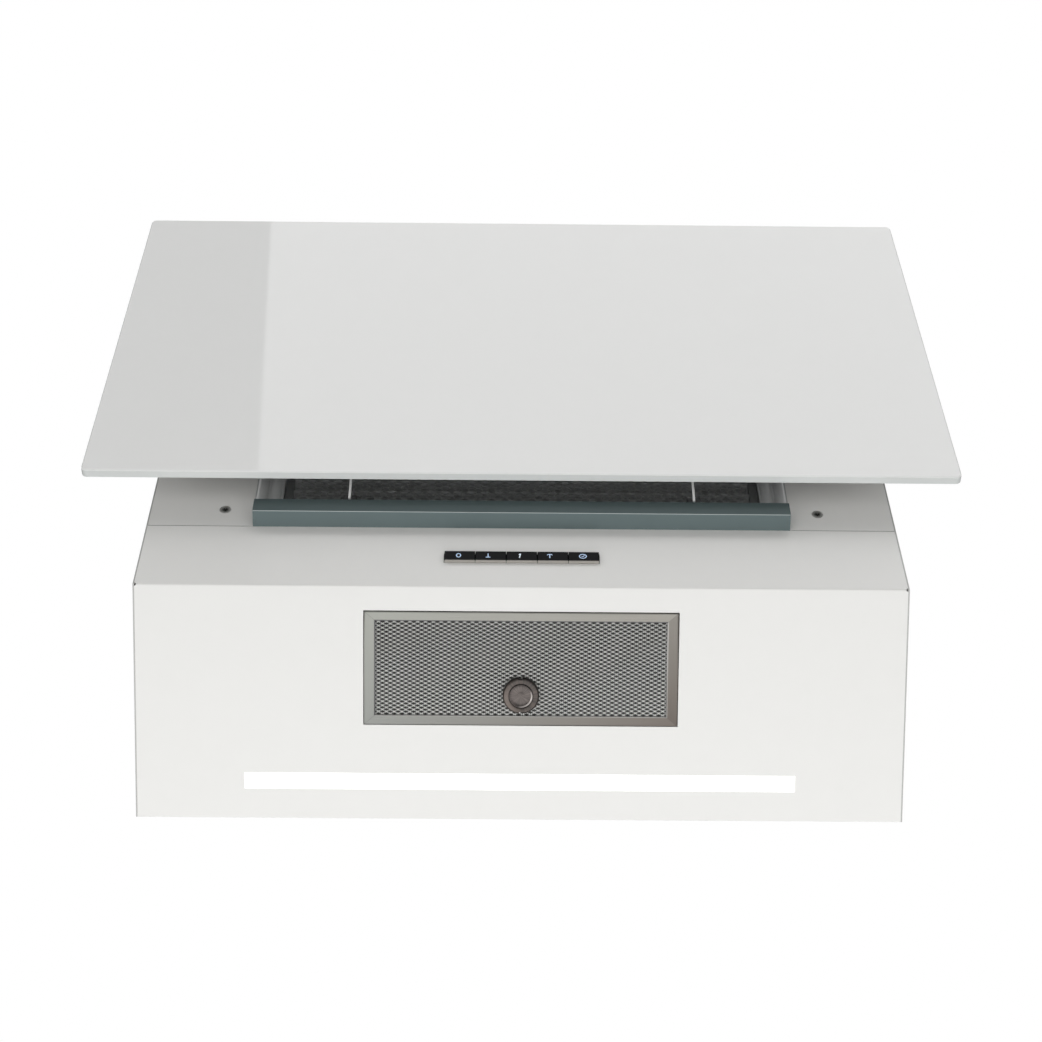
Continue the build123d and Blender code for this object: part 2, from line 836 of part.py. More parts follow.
# Lower filter: a folded frame round expanded metal, hung at its front edge on two trunnions.
filter_axis = lower_filter_start + trunnion_height
lower_filter_end = lower_filter_start + lower_filter_length
with BuildPart() as lower_filter_frame:
    with BuildSketch(under_plane(0)):
        with Locations((0, filter_middle)):
            Rectangle(lower_filter_width, lower_filter_length)
    extrude(amount=lower_filter_depth)
    fillet(
        lower_filter_frame.edges().filter_by(Axis.X).sort_by_distance((0, fold_y + lower_filter_start, under_z))[0],
        trunnion_height,
    )
    with BuildSketch(under_plane(0)):
        with Locations((0, filter_middle)):
            Rectangle(lower_filter_width - 2 * lower_filter_side, lower_filter_length - 2 * lower_filter_bar)
    extrude(amount=lower_filter_depth, mode=Mode.SUBTRACT)
    with BuildSketch(under_plane(lower_filter_wall)):
        with Locations((0, filter_middle)):
            Rectangle(
                lower_filter_width - 2 * lower_filter_pocket_wall,
                lower_filter_length - 2 * lower_filter_pocket_wall,
            )
    extrude(amount=lower_filter_depth - 2 * lower_filter_wall, mode=Mode.SUBTRACT)
    for start in (-lower_filter_width / 2 - trunnion_length, lower_filter_width / 2):
        with BuildSketch(side_plane(start)):
            with Locations((fold_y + filter_axis, under_z + trunnion_height)):
                Circle(trunnion_radius)
        extrude(amount=trunnion_length)
finish(lower_filter_frame.part, "lower_filter_frame")

mesh_width = lower_filter_width - 2 * lower_filter_pocket_wall
mesh_length = lower_filter_length - 2 * lower_filter_pocket_wall
window_width = lower_filter_width - 2 * lower_filter_side
window_length = lower_filter_length - 2 * lower_filter_bar
diamond_pitch_x = window_width / diamond_columns
diamond_pitch_y = window_length / diamond_rows
diamond_half_x = (diamond_pitch_x - diamond_web) / 2
diamond_half_y = (diamond_pitch_y - diamond_web) / 2
diamond = [(-diamond_half_x, 0), (0, diamond_half_y), (diamond_half_x, 0), (0, -diamond_half_y)]
with BuildPart() as lower_filter_mesh:
    with BuildSketch(under_plane(lower_filter_wall)):
        with Locations((0, filter_middle)):
            Rectangle(mesh_width, mesh_length)
            for fewer in (0, 1):
                with GridLocations(
                    diamond_pitch_x, diamond_pitch_y, diamond_columns - fewer, diamond_rows - fewer
                ):
                    Polygon(*diamond, align=None, mode=Mode.SUBTRACT)
        with Locations((0, knob_along)):
            Circle(knob_plate_radius)
            Circle(bush_radius, mode=Mode.SUBTRACT)
    extrude(amount=lower_mesh_thickness)
finish(lower_filter_mesh.part, "lower_filter_mesh")

with BuildPart() as lower_filter_media:
    with BuildSketch(under_plane(lower_filter_wall + lower_mesh_thickness)):
        with Locations((0, filter_middle)):
            Rectangle(mesh_width, mesh_length)
        with Locations((0, knob_along)):
            Circle(bush_radius, mode=Mode.SUBTRACT)
    extrude(amount=lower_media_thickness)
finish(lower_filter_media.part, "lower_filter_media")

# Hinge blocks above the underside that hold the filter's trunnions.
for side, name in ((-1, "left"), (1, "right")):
    near = side * (lower_filter_width / 2 + hinge_block_gap)
    far = near + side * hinge_block_width
    with BuildPart() as hinge_block:
        with BuildSketch(side_plane(min(near, far))):
            with Locations((fold_y + filter_axis, under_z + sheet)):
                Rectangle(hinge_block_length, hinge_block_height, align=(Align.CENTER, Align.MIN))
            with Locations((fold_y + filter_axis, under_z + trunnion_height)):
                Circle(trunnion_radius + running_clearance, mode=Mode.SUBTRACT)
        extrude(amount=hinge_block_width)
    finish(hinge_block.part, "filter_hinge_" + name)

# Filter latch: a turning knob, its stem in a bush, and a tongue that turns over a catch.
with BuildPart() as knob_bush:
    with BuildSketch(under_plane(lower_filter_wall)):
        with Locations((0, knob_along)):
            Circle(bush_radius)
            Circle(knob_stem_radius + running_clearance, mode=Mode.SUBTRACT)
    extrude(amount=lower_filter_depth - lower_filter_wall)
finish(knob_bush.part, "knob_bush")

knob_y = fold_y + knob_along
knob_foot = under_z + lower_filter_wall - knob_gap
knob_face = knob_foot - knob_height
with BuildPart() as filter_knob:
    with BuildSketch(Plane(origin=(0, knob_y, 0), x_dir=(1, 0, 0), z_dir=(0, -1, 0))):
        with BuildLine():
            Polyline(
                (0, knob_foot),
                (knob_radius, knob_foot),
                (knob_radius, knob_face + knob_edge),
                (knob_radius - knob_edge, knob_face),
                (knob_disc_radius + knob_edge, knob_face),
                (knob_disc_radius, knob_face + knob_edge),
                (knob_disc_radius, knob_face + knob_recess),
                (0, knob_face + knob_recess),
                (0, knob_foot),
            )
        make_face()
    revolve(axis=Axis((0, knob_y, 0), (0, 0, 1)))
    with BuildSketch(Plane.XY.offset(knob_face)):
        with Locations((0, knob_y - knob_radius), (0, knob_y + knob_radius)):
            Rectangle(knob_notch, 2 * knob_notch)
    extrude(amount=knob_height / 2, mode=Mode.SUBTRACT)
    with BuildSketch(Plane.XY.offset(knob_foot)):
        with Locations((0, knob_y)):
            Circle(knob_stem_radius)
    extrude(amount=lower_filter_depth - lower_filter_wall + knob_gap + tongue_gap)
finish(filter_knob.part, "filter_knob")

with BuildPart() as knob_disc:
    with BuildSketch(Plane.XY.offset(knob_face + knob_recess)):
        with Locations((0, knob_y)):
            Circle(knob_disc_radius)
    extrude(amount=-knob_disc_height)
    chamfer(knob_disc.edges().sort_by(Axis.Z)[0], knob_disc_edge)
finish(knob_disc.part, "knob_disc")

with BuildPart() as latch_tongue:
    with BuildSketch(under_plane(lower_filter_depth + tongue_gap)):
        with Locations((0, knob_along)):
            Circle(tongue_width / 2 + tongue_eye)
            Rectangle(tongue_length, tongue_width, align=(Align.MIN, Align.CENTER))
    extrude(amount=tongue_thickness)
finish(latch_tongue.part, "latch_tongue")

catch_start = lower_filter_end + lower_filter_gap + catch_setback
with BuildPart() as latch_catch:
    with BuildSketch(side_plane(-latch_catch_width / 2)):
        with BuildLine():
            Polyline(
                (fold_y + catch_start, under_z + lower_filter_depth),
                (fold_y + catch_start, under_z + lower_filter_depth - sheet),
                (fold_y + catch_start + catch_reach, under_z + lower_filter_depth - sheet),
                (fold_y + catch_start + catch_reach, under_z + sheet),
                (fold_y + catch_start + 2 * catch_reach, under_z + sheet),
                (fold_y + catch_start + 2 * catch_reach, under_z + 2 * sheet),
                (fold_y + catch_start + catch_reach + sheet, under_z + 2 * sheet),
                (fold_y + catch_start + catch_reach + sheet, under_z + lower_filter_depth),
                close=True,
            )
        make_face()
    extrude(amount=latch_catch_width)
finish(latch_catch.part, "latch_catch")

# Blower scroll: two halves that meet in the middle, its wall a spiral that opens upwards.
blower_y = -blower_across
blower_z = under_z + blower_above
outlet_front = outlet_y - outlet_radius + outlet_wall
outlet_back = blower_y + scroll_start_radius + scroll_growth
scroll_top = top_z - sheet


def scroll_point(turn, inset):
    """Point of the scroll wall: the radius grows evenly from the tongue, over the front, to the back."""
    angle = tongue_angle + turn * (2 * math.pi - tongue_angle)
    radius = scroll_start_radius + scroll_growth * turn - inset
    return (blower_y + radius * math.cos(angle), blower_z + radius * math.sin(angle))


def scroll_half(side):
    """Half of the scroll: a side wall with its round inlet, and the wall towards the middle."""
    outer = side * scroll_width / 2
    inner = outer - side * scroll_wall
    with BuildPart() as half:
        for start, end, inset, mode in (
            (min(outer, 0), max(outer, 0), 0, Mode.ADD),
            (min(inner, 0), max(inner, 0), scroll_wall, Mode.SUBTRACT),
        ):
            with BuildSketch(side_plane(start)):
                with BuildLine():
                    Spline(*[scroll_point(step / 8, inset) for step in range(9)])
                    Polyline(
                        scroll_point(1, inset),
                        (outlet_back - inset, scroll_top),
                        (outlet_front + inset, scroll_top),
                        scroll_point(0, inset),
                    )
                make_face()
            extrude(amount=end - start, mode=mode)
        with BuildSketch(side_plane(min(inner, outer))):
            with Locations((blower_y, blower_z)):
                Circle(scroll_inlet_radius)
        extrude(amount=scroll_wall, mode=Mode.SUBTRACT)
    return half.part


finish(scroll_half(-1), "blower_scroll_left")
finish(scroll_half(1), "blower_scroll_right")

# Impeller: forward-curved blades between two rings, on a centre disc with a hub.
blade_inner = impeller_radius - blade_chord
blade_tip = impeller_radius - blade_tip_inset
blade_mid = (blade_inner + blade_tip) / 2
blade = [
    (blade_inner, 0),
    (blade_mid, blade_camber),
    (blade_tip, blade_sweep),
    (blade_tip, blade_sweep + blade_wall),
    (blade_mid, blade_camber + blade_wall),
    (blade_inner, blade_wall),
]
with BuildPart() as impeller:
    with BuildSketch(side_plane(-impeller_width / 2)):
        with Locations((blower_y, blower_z)):
            with PolarLocations(0, blade_count):
                Polygon(*blade, align=None)
    extrude(amount=impeller_width)
    for x in (-impeller_width / 2, impeller_width / 2 - impeller_ring):
        with BuildSketch(side_plane(x)):
            with Locations((blower_y, blower_z)):
                Circle(impeller_radius + impeller_ring_proud)
                Circle(blade_inner - impeller_ring_proud, mode=Mode.SUBTRACT)
        extrude(amount=impeller_ring)
    with BuildSketch(side_plane(-impeller_ring / 2)):
        with Locations((blower_y, blower_z)):
            Circle(blade_inner + impeller_ring)
    extrude(amount=impeller_ring)
    with BuildSketch(side_plane(-hub_width / 2)):
        with Locations((blower_y, blower_z)):
            Circle(hub_radius)
    extrude(amount=hub_width)
    with BuildSketch(side_plane(-hub_width / 2)):
        with Locations((blower_y, blower_z)):
            Circle(shaft_radius)
    extrude(amount=hub_width, mode=Mode.SUBTRACT)
finish(impeller.part, "impeller")

# Motor in the left inlet, on a three-armed bracket, with its shaft through the impeller's hub.
motor_face = -scroll_width / 2 - bracket_thickness
with BuildPart() as motor:
    with BuildSketch(side_plane(motor_face - motor_length)):
        with Locations((blower_y, blower_z)):
            Circle(motor_radius)
    extrude(amount=motor_length)
    chamfer(motor.edges().filter_by(GeomType.CIRCLE), motor_edge)
    with BuildSketch(side_plane(motor_face)):
        with Locations((blower_y, blower_z)):
            Circle(shaft_radius + running_clearance)
    extrude(amount=-motor_length / 2, mode=Mode.SUBTRACT)
    with BuildSketch(side_plane(motor_face)):
        with Locations((blower_y, blower_z)):
            with PolarLocations(motor_screw_circle, bracket_arm_count):
                Circle(motor_screw_radius)
    extrude(amount=bracket_thickness - motor_screw_length, mode=Mode.SUBTRACT)
finish(motor.part, "motor")

with BuildPart() as motor_bracket:
    with BuildSketch(side_plane(motor_face)):
        with Locations((blower_y, blower_z)):
            Circle(scroll_inlet_radius + bracket_rim)
            Circle(scroll_inlet_radius - bracket_lap, mode=Mode.SUBTRACT)
            with PolarLocations(0, bracket_arm_count):
                Rectangle(scroll_inlet_radius, bracket_arm, align=(Align.MIN, Align.CENTER))
            Circle(motor_screw_circle + motor_screw_head + bracket_land)
            Circle(hub_radius, mode=Mode.SUBTRACT)
            with PolarLocations(motor_screw_circle, bracket_arm_count):
                Circle(motor_screw_radius, mode=Mode.SUBTRACT)
    extrude(amount=bracket_thickness)
finish(motor_bracket.part, "motor_bracket")

with BuildPart() as motor_screws:
    with BuildSketch(side_plane(motor_face + bracket_thickness)):
        with Locations((blower_y, blower_z)):
            with PolarLocations(motor_screw_circle, bracket_arm_count):
                RegularPolygon(motor_screw_head, hex_sides)
    extrude(amount=motor_screw_rise)
    with BuildSketch(side_plane(motor_face + bracket_thickness)):
        with Locations((blower_y, blower_z)):
            with PolarLocations(motor_screw_circle, bracket_arm_count):
                Circle(motor_screw_radius)
    extrude(amount=-motor_screw_length)
finish(motor_screws.part, "motor_screws")

with BuildPart() as motor_shaft:
    with BuildSketch(side_plane(motor_face - motor_length / 2 + shaft_end_gap)):
        with Locations((blower_y, blower_z)):
            Circle(shaft_radius)
    extrude(amount=hub_width / 2 - motor_face + motor_length / 2 - shaft_end_gap)
finish(motor_shaft.part, "motor_shaft")

# Outlet collar: a square flange on the top plate, a round spigot, and a ledge for the closed flaps.
pin_z = top_z + flap_height
outlet_bore = outlet_radius - outlet_wall
with BuildPart() as outlet_collar:
    with BuildSketch(Plane.XY.offset(top_z)):
        with Locations((0, outlet_y)):
            RectangleRounded(outlet_flange_side, outlet_flange_side, outlet_flange_corner)
    extrude(amount=outlet_wall)
    with BuildSketch(Plane.XY.offset(top_z)):
        with Locations((0, outlet_y)):
            Circle(outlet_radius)
    extrude(amount=outlet_height)
    with BuildSketch(Plane.XY.offset(top_z)):
        with Locations((0, outlet_y)):
            Circle(outlet_bore)
    extrude(amount=outlet_height, mode=Mode.SUBTRACT)
    with BuildSketch(Plane.XY.offset(pin_z - flap_thickness / 2 - flap_rest_gap)):
        with Locations((0, outlet_y)):
            Circle(outlet_bore)
            Circle(outlet_bore - flap_ledge, mode=Mode.SUBTRACT)
    extrude(amount=-flap_ledge)
    with BuildSketch(side_plane(-outlet_radius)):
        with Locations((outlet_y - flap_pin_gap, pin_z), (outlet_y + flap_pin_gap, pin_z)):
            Circle(flap_pin_radius)
    extrude(amount=2 * outlet_radius, mode=Mode.SUBTRACT)
    with BuildSketch(Plane.XY.offset(top_z)):
        with Locations((0, outlet_y)):
            with GridLocations(outlet_screw_spacing, outlet_screw_spacing, 2, 2):
                Circle(outlet_screw_radius)
    extrude(amount=outlet_wall, mode=Mode.SUBTRACT)
finish(outlet_collar.part, "outlet_collar")

with BuildPart() as outlet_screws:
    with BuildSketch(Plane.XY.offset(top_z + outlet_wall)):
        with Locations((0, outlet_y)):
            with GridLocations(outlet_screw_spacing, outlet_screw_spacing, 2, 2):
                RegularPolygon(outlet_screw_head, hex_sides)
    extrude(amount=outlet_screw_rise)
    with BuildSketch(Plane.XY.offset(top_z + outlet_wall)):
        with Locations((0, outlet_y)):
            with GridLocations(outlet_screw_spacing, outlet_screw_spacing, 2, 2):
                Circle(outlet_screw_radius)
    extrude(amount=-outlet_screw_length)
finish(outlet_screws.part, "outlet_screws")

flap_radius = outlet_bore - flap_clearance
pin_half = math.sqrt(outlet_radius ** 2 - flap_pin_gap ** 2)
knuckle_half = pin_half - outlet_wall - flap_ledge - 2 * flap_clearance
with BuildPart() as flap_pins:
    with BuildSketch(side_plane(-pin_half)):
        with Locations((outlet_y - flap_pin_gap, pin_z), (outlet_y + flap_pin_gap, pin_z)):
            Circle(flap_pin_radius)
    extrude(amount=2 * pin_half)
finish(flap_pins.part, "flap_pins")


def damper_flap(side):
    """Half disc with a knuckle along its straight edge, hung on its pin."""
    pin_y = outlet_y + side * flap_pin_gap
    with BuildPart() as flap:
        with BuildSketch(Plane.XY.offset(pin_z - flap_thickness / 2)):
            with Locations((0, outlet_y)):
                Circle(flap_radius)
            with Locations((0, pin_y)):
                Rectangle(
                    3 * flap_radius,
                    3 * flap_radius,
                    align=(Align.CENTER, Align.MAX if side > 0 else Align.MIN),
                    mode=Mode.SUBTRACT,
                )
        extrude(amount=flap_thickness)
        with BuildSketch(side_plane(-knuckle_half)):
            with Locations((pin_y, pin_z)):
                Circle(flap_pin_radius + flap_knuckle_wall)
        extrude(amount=2 * knuckle_half)
        with BuildSketch(side_plane(-pin_half)):
            with Locations((pin_y, pin_z)):
                Circle(flap_pin_radius + running_clearance)
        extrude(amount=2 * pin_half, mode=Mode.SUBTRACT)
    return flap.part


finish(damper_flap(-1), "damper_flap_front")
finish(damper_flap(1), "damper_flap_back")

# Control box on the back plate: tray, board and lid.
box_back = -sheet
box_x = control_box_x
box_z = under_z + control_box_above
with BuildPart() as control_box:
    with BuildSketch(Plane.XZ.offset(-box_back)):
        with Locations((box_x, box_z)):
            RectangleRounded(control_box_width, control_box_height, control_box_corner)
    extrude(amount=control_box_depth)
    with BuildSketch(Plane.XZ.offset(-box_back + control_box_wall)):
        with Locations((box_x, box_z)):
            RectangleRounded(
                control_box_width - 2 * control_box_wall,
                control_box_height - 2 * control_box_wall,
                control_box_corner - control_box_wall,
            )
    extrude(amount=control_box_depth, mode=Mode.SUBTRACT)
    with BuildSketch(Plane.XZ.offset(-box_back)):
        with Locations((box_x, box_z)):
            with GridLocations(
                control_box_width - 4 * control_box_wall - board_post,
                control_box_height - 4 * control_box_wall - board_post,
                2,
                2,
            ):
                Rectangle(board_post, board_post)
    extrude(amount=control_box_wall + board_post)
finish(control_box.part, "control_box")

with BuildPart() as control_board:
    with BuildSketch(Plane.XZ.offset(-box_back + control_box_wall + board_post)):
        with Locations((box_x, box_z)):
            Rectangle(control_box_width - 4 * control_box_wall, control_box_height - 4 * control_box_wall)
    extrude(amount=board_thickness)
    with BuildSketch(Plane.XZ.offset(-box_back + control_box_wall + board_post + board_thickness)):
        with Locations((box_x - control_box_width / 5, box_z), (box_x + control_box_width / 5, box_z)):
            Rectangle(board_part, board_part)
    extrude(amount=board_part / 2)
finish(control_board.part, "control_board")

with BuildPart() as control_lid:
    with BuildSketch(Plane.XZ.offset(-box_back + control_box_depth)):
        with Locations((box_x, box_z)):
            RectangleRounded(control_box_width, control_box_height, control_box_corner)
    extrude(amount=control_box_wall)
finish(control_lid.part, "control_lid")

# Cable gland through the top plate, and its nut below.
with BuildPart() as cable_gland:
    with BuildSketch(Plane.XY.offset(top_z)):
        with Locations((gland_side, gland_y)):
            RegularPolygon(gland_radius + gland_shoulder, hex_sides)
    extrude(amount=gland_hex)
    with BuildSketch(Plane.XY.offset(top_z - sheet - gland_nut - gland_thread_end)):
        with Locations((gland_side, gland_y)):
            Circle(gland_thread_radius)
    extrude(amount=sheet + gland_nut + gland_thread_end)
    with BuildSketch(Plane.XY.offset(top_z + gland_hex)):
        with Locations((gland_side, gland_y)):
            Circle(gland_radius)
    extrude(amount=gland_length - gland_hex, taper=gland_taper)
    with BuildSketch(Plane.XY.offset(top_z - sheet - gland_nut - gland_thread_end)):
        with Locations((gland_side, gland_y)):
            Circle(gland_bore_radius)
    extrude(amount=gland_length + sheet + gland_nut + gland_thread_end, mode=Mode.SUBTRACT)
finish(cable_gland.part, "cable_gland")

with BuildPart() as gland_nut_ring:
    with BuildSketch(Plane.XY.offset(top_z - sheet)):
        with Locations((gland_side, gland_y)):
            RegularPolygon(gland_radius + gland_shoulder, hex_sides)
            Circle(gland_thread_radius, mode=Mode.SUBTRACT)
    extrude(amount=-gland_nut)
finish(gland_nut_ring.part, "gland_nut")
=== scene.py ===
import math

import bpy
import numpy as np
from mathutils import Matrix


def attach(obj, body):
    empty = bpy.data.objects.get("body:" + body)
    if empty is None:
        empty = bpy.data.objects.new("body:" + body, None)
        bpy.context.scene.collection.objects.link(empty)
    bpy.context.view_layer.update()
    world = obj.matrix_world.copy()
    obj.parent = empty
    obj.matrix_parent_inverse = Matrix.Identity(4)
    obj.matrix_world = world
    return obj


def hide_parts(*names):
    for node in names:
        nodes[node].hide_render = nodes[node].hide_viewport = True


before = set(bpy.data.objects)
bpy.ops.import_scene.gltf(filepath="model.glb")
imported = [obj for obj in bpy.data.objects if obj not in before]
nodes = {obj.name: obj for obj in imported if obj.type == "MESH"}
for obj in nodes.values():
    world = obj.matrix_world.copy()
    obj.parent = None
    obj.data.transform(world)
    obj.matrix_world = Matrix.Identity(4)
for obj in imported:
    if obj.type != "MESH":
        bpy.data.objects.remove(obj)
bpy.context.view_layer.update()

# The view: the hood hangs on its wall and is seen from below, straight up at its underside, with the
# wall at the foot of the picture.
look = np.array([
    [0.99993867, -0.00901582, -0.00643213],
    [-0.00817521, -0.99267902, 0.12050534],
    [-0.00747149, -0.12044536, -0.99269184],
])
camera_data = bpy.data.cameras.new("camera")
camera_data.sensor_width = 36.0
camera_data.lens = 65.47
camera = bpy.data.objects.new("camera", camera_data)
bpy.context.scene.collection.objects.link(camera)
placed = np.eye(4)
placed[:3, :3] = look.T
placed[:3, 3] = (-0.010126, -0.347848, -1.448649)
camera.matrix_world = Matrix(placed.tolist())
bpy.context.scene.camera = camera
bpy.context.scene.view_settings.view_transform = "Standard"


# The room: a plain pale floor far below, a white surround, one broad soft lamp low behind the hood that
# lights its underside, an upright one in front, whose left edge is the line that the glass mirrors, and
# one on each side, above the hood, that the glass shades the strip behind it from.
def lamp(name, place, aim, width, height, power):
    """Flat soft lamp at a place, turned to face a point; its first side runs along the wall."""
    data = bpy.data.lights.new(name, "AREA")
    data.shape = "RECTANGLE"
    data.size = width
    data.size_y = height
    data.energy = power
    lamp_object = bpy.data.objects.new(name, data)
    bpy.context.scene.collection.objects.link(lamp_object)
    away = np.array(place, float) - np.array(aim, float)
    away /= np.linalg.norm(away)
    up = np.cross(away, (1.0, 0.0, 0.0))
    up /= np.linalg.norm(up)
    turn = np.eye(4)
    turn[:3, 0], turn[:3, 1], turn[:3, 2], turn[:3, 3] = np.cross(up, away), up, away, place
    lamp_object.matrix_world = Matrix(turn.tolist())
    lamp_object.visible_camera = False


world = bpy.data.worlds.new("surround")
bpy.context.scene.world = world
world.use_nodes = True
tree = world.node_tree
tree.nodes.clear()
output = tree.nodes.new("ShaderNodeOutputWorld")
mixed = tree.nodes.new("ShaderNodeMixShader")
ambient = tree.nodes.new("ShaderNodeBackground")
seen = tree.nodes.new("ShaderNodeBackground")
rays = tree.nodes.new("ShaderNodeLightPath")
ambient.inputs["Color"].default_value = (0.98, 0.99, 1.0, 1)
ambient.inputs["Strength"].default_value = 0.2
seen.inputs["Color"].default_value = (1, 1, 1, 1)
seen.inputs["Strength"].default_value = 1.0
tree.links.new(rays.outputs["Is Camera Ray"], mixed.inputs["Fac"])
tree.links.new(ambient.outputs[0], mixed.inputs[1])
tree.links.new(seen.outputs[0], mixed.inputs[2])
tree.links.new(mixed.outputs[0], output.inputs["Surface"])

lamp("lamp_below", (0.0, 0.8, -1.66), (0.0, 0.8, 0.0), 3.0, 2.0, 31.5)
lamp("lamp_front", (0.635, -3.0, 1.1), (0.635, 0.0, 1.1), 2.4, 1.5, 14)
for side, name in ((-1, "lamp_left"), (1, "lamp_right")):
    lamp(name, (side * 2.1, -2.1, 1.1), (0.0, -0.2, 0.0), 2.2, 2.2, 43)

floor_reach, floor_height = 9, -1.7
floor_mesh = bpy.data.meshes.new("floor")
floor_mesh.from_pydata(
    [(x * floor_reach, y * floor_reach, floor_height) for x, y in ((-1, -1), (1, -1), (1, 1), (-1, 1))],
    [], [(0, 1, 2, 3)]
)
floor = bpy.data.objects.new("floor", floor_mesh)
bpy.context.scene.collection.objects.link(floor)
floor_material = bpy.data.materials.new("floor")
floor_material.use_nodes = True
tree = floor_material.node_tree
shader = tree.nodes["Principled BSDF"]
shader.inputs["Base Color"].default_value = (0.86, 0.86, 0.85, 1)
shader.inputs["Roughness"].default_value = 0.9
floor_rays = tree.nodes.new("ShaderNodeLightPath")
floor_glow = tree.nodes.new("ShaderNodeMath")
floor_glow.operation = "MULTIPLY"
floor_glow.inputs[1].default_value = 0.4
tree.links.new(floor_rays.outputs["Is Camera Ray"], floor_glow.inputs[0])
tree.links.new(floor_glow.outputs[0], shader.inputs["Emission Strength"])
floor_mesh.materials.append(floor_material)


# Housing: the folded lower shell, the upper front plate, the side sheets and the top. Sheet steel, white
# enamel baked on: smooth, slightly warm, with a fine orange peel.
relief_depth = 0.0002
coat_roughness = 0.06


def finish(name, colour, second, roughness, uneven=0.0, grain=900.0, bump=0.0, metallic=0.0, coat=0.0,
           stretch=(1, 1, 1), variety=60.0):
    """Surface whose colour drifts between two tones by one noise and whose gloss and relief follow
    a finer one; stretch draws the finer noise out along an axis, as brushing does."""
    material = bpy.data.materials.new(name)
    material.use_nodes = True
    tree = material.node_tree
    shader = tree.nodes["Principled BSDF"]
    place = tree.nodes.new("ShaderNodeTexCoord")
    drift = tree.nodes.new("ShaderNodeTexNoise")
    drift.inputs["Scale"].default_value = variety
    drift.inputs["Detail"].default_value = 3.0
    tones = tree.nodes.new("ShaderNodeMix")
    tones.data_type = "RGBA"
    tones.inputs["A"].default_value = (*colour, 1)
    tones.inputs["B"].default_value = (*second, 1)
    scaled = tree.nodes.new("ShaderNodeMapping")
    scaled.inputs["Scale"].default_value = stretch
    fine = tree.nodes.new("ShaderNodeTexNoise")
    fine.name = "grain"
    fine.inputs["Scale"].default_value = grain
    fine.inputs["Detail"].default_value = 4.0
    gloss = tree.nodes.new("ShaderNodeMapRange")
    gloss.inputs["To Min"].default_value = max(0.0, roughness - uneven)
    gloss.inputs["To Max"].default_value = min(1.0, roughness + uneven)
    relief = tree.nodes.new("ShaderNodeBump")
    relief.inputs["Strength"].default_value = bump
    relief.inputs["Distance"].default_value = relief_depth
    tree.links.new(place.outputs["Object"], drift.inputs["Vector"])
    tree.links.new(place.outputs["Object"], scaled.inputs["Vector"])
    tree.links.new(scaled.outputs["Vector"], fine.inputs["Vector"])
    tree.links.new(drift.outputs["Fac"], tones.inputs["Factor"])
    tree.links.new(tones.outputs["Result"], shader.inputs["Base Color"])
    tree.links.new(fine.outputs["Fac"], gloss.inputs["Value"])
    tree.links.new(gloss.outputs["Result"], shader.inputs["Roughness"])
    tree.links.new(fine.outputs["Fac"], relief.inputs["Height"])
    tree.links.new(relief.outputs["Normal"], shader.inputs["Normal"])
    shader.inputs["Metallic"].default_value = metallic
    shader.inputs["Coat Weight"].default_value = coat
    shader.inputs["Coat Roughness"].default_value = coat_roughness
    return material


def wear(node_names, material):
    """Give CAD nodes one material."""
    for node_name in node_names:
        mesh = nodes[node_name].data
        mesh.materials.clear()
        mesh.materials.append(material)


def shader_of(material):
    """The sockets of a material's surface shader."""
    return material.node_tree.nodes["Principled BSDF"].inputs


enamel = finish("white_enamel", (0.805, 0.80, 0.78), (0.79, 0.785, 0.765), 0.30, 0.05, 700, 0.02, coat=0.2)

# Top plate: out of sight above the cabinets, it has the same enamel sprayed thinner, without its gloss.
thin_enamel = finish("thin_enamel", (0.79, 0.785, 0.765), (0.77, 0.765, 0.745), 0.65, 0.06, 700, 0.05)
shader_of(thin_enamel)["Specular IOR Level"].default_value = 0.1
wear(["top_plate"], thin_enamel)


# Side sheets: the same enamel on their faces, with the cut edge grey, a thin line that is partly bare steel
# and partly painted shade along the joint with the shell.
def tinted(name, base, axis, colour, facing, near=0.5, full=0.8):
    """Copy of a finish in which the faces that look along an axis, or else all that look neither
    along nor against it, take another colour; the cosine to the axis runs from near to full."""
    material = base.copy()
    material.name = name
    tree = material.node_tree
    base_colour = shader_of(material)["Base Color"]
    surface = tree.nodes.new("ShaderNodeTexCoord")
    along = tree.nodes.new("ShaderNodeVectorMath")
    along.operation = "DOT_PRODUCT"
    along.inputs[1].default_value = axis
    share = tree.nodes.new("ShaderNodeMapRange")
    share.inputs["From Min"].default_value = near
    share.inputs["From Max"].default_value = full
    share.inputs["To Min"].default_value = 0.0 if facing else 1.0
    share.inputs["To Max"].default_value = 1.0 if facing else 0.0
    mixed = tree.nodes.new("ShaderNodeMix")
    mixed.data_type = "RGBA"
    mixed.inputs["B"].default_value = (*colour, 1)
    tree.links.new(surface.outputs["Normal"], along.inputs[0])
    cosine = along.outputs["Value"]
    if not facing:
        either = tree.nodes.new("ShaderNodeMath")
        either.operation = "ABSOLUTE"
        tree.links.new(cosine, either.inputs[0])
        cosine = either.outputs[0]
    tree.links.new(cosine, share.inputs["Value"])
    tree.links.new(share.outputs["Result"], mixed.inputs["Factor"])
    tree.links.new(base_colour.links[0].from_socket, mixed.inputs["A"])
    tree.links.new(mixed.outputs["Result"], base_colour)
    return material


# Partly painted shade: the grey of the cut edges stands in for the shade along the joint with the shell.
side_edge_painted_shade = (0.44, 0.44, 0.43)
wear(["side_panel_left"], tinted("side_enamel_left", enamel, (-1, 0, 0), side_edge_painted_shade, False))
wear(["side_panel_right"], tinted("side_enamel_right", enamel, (1, 0, 0), side_edge_painted_shade, False))

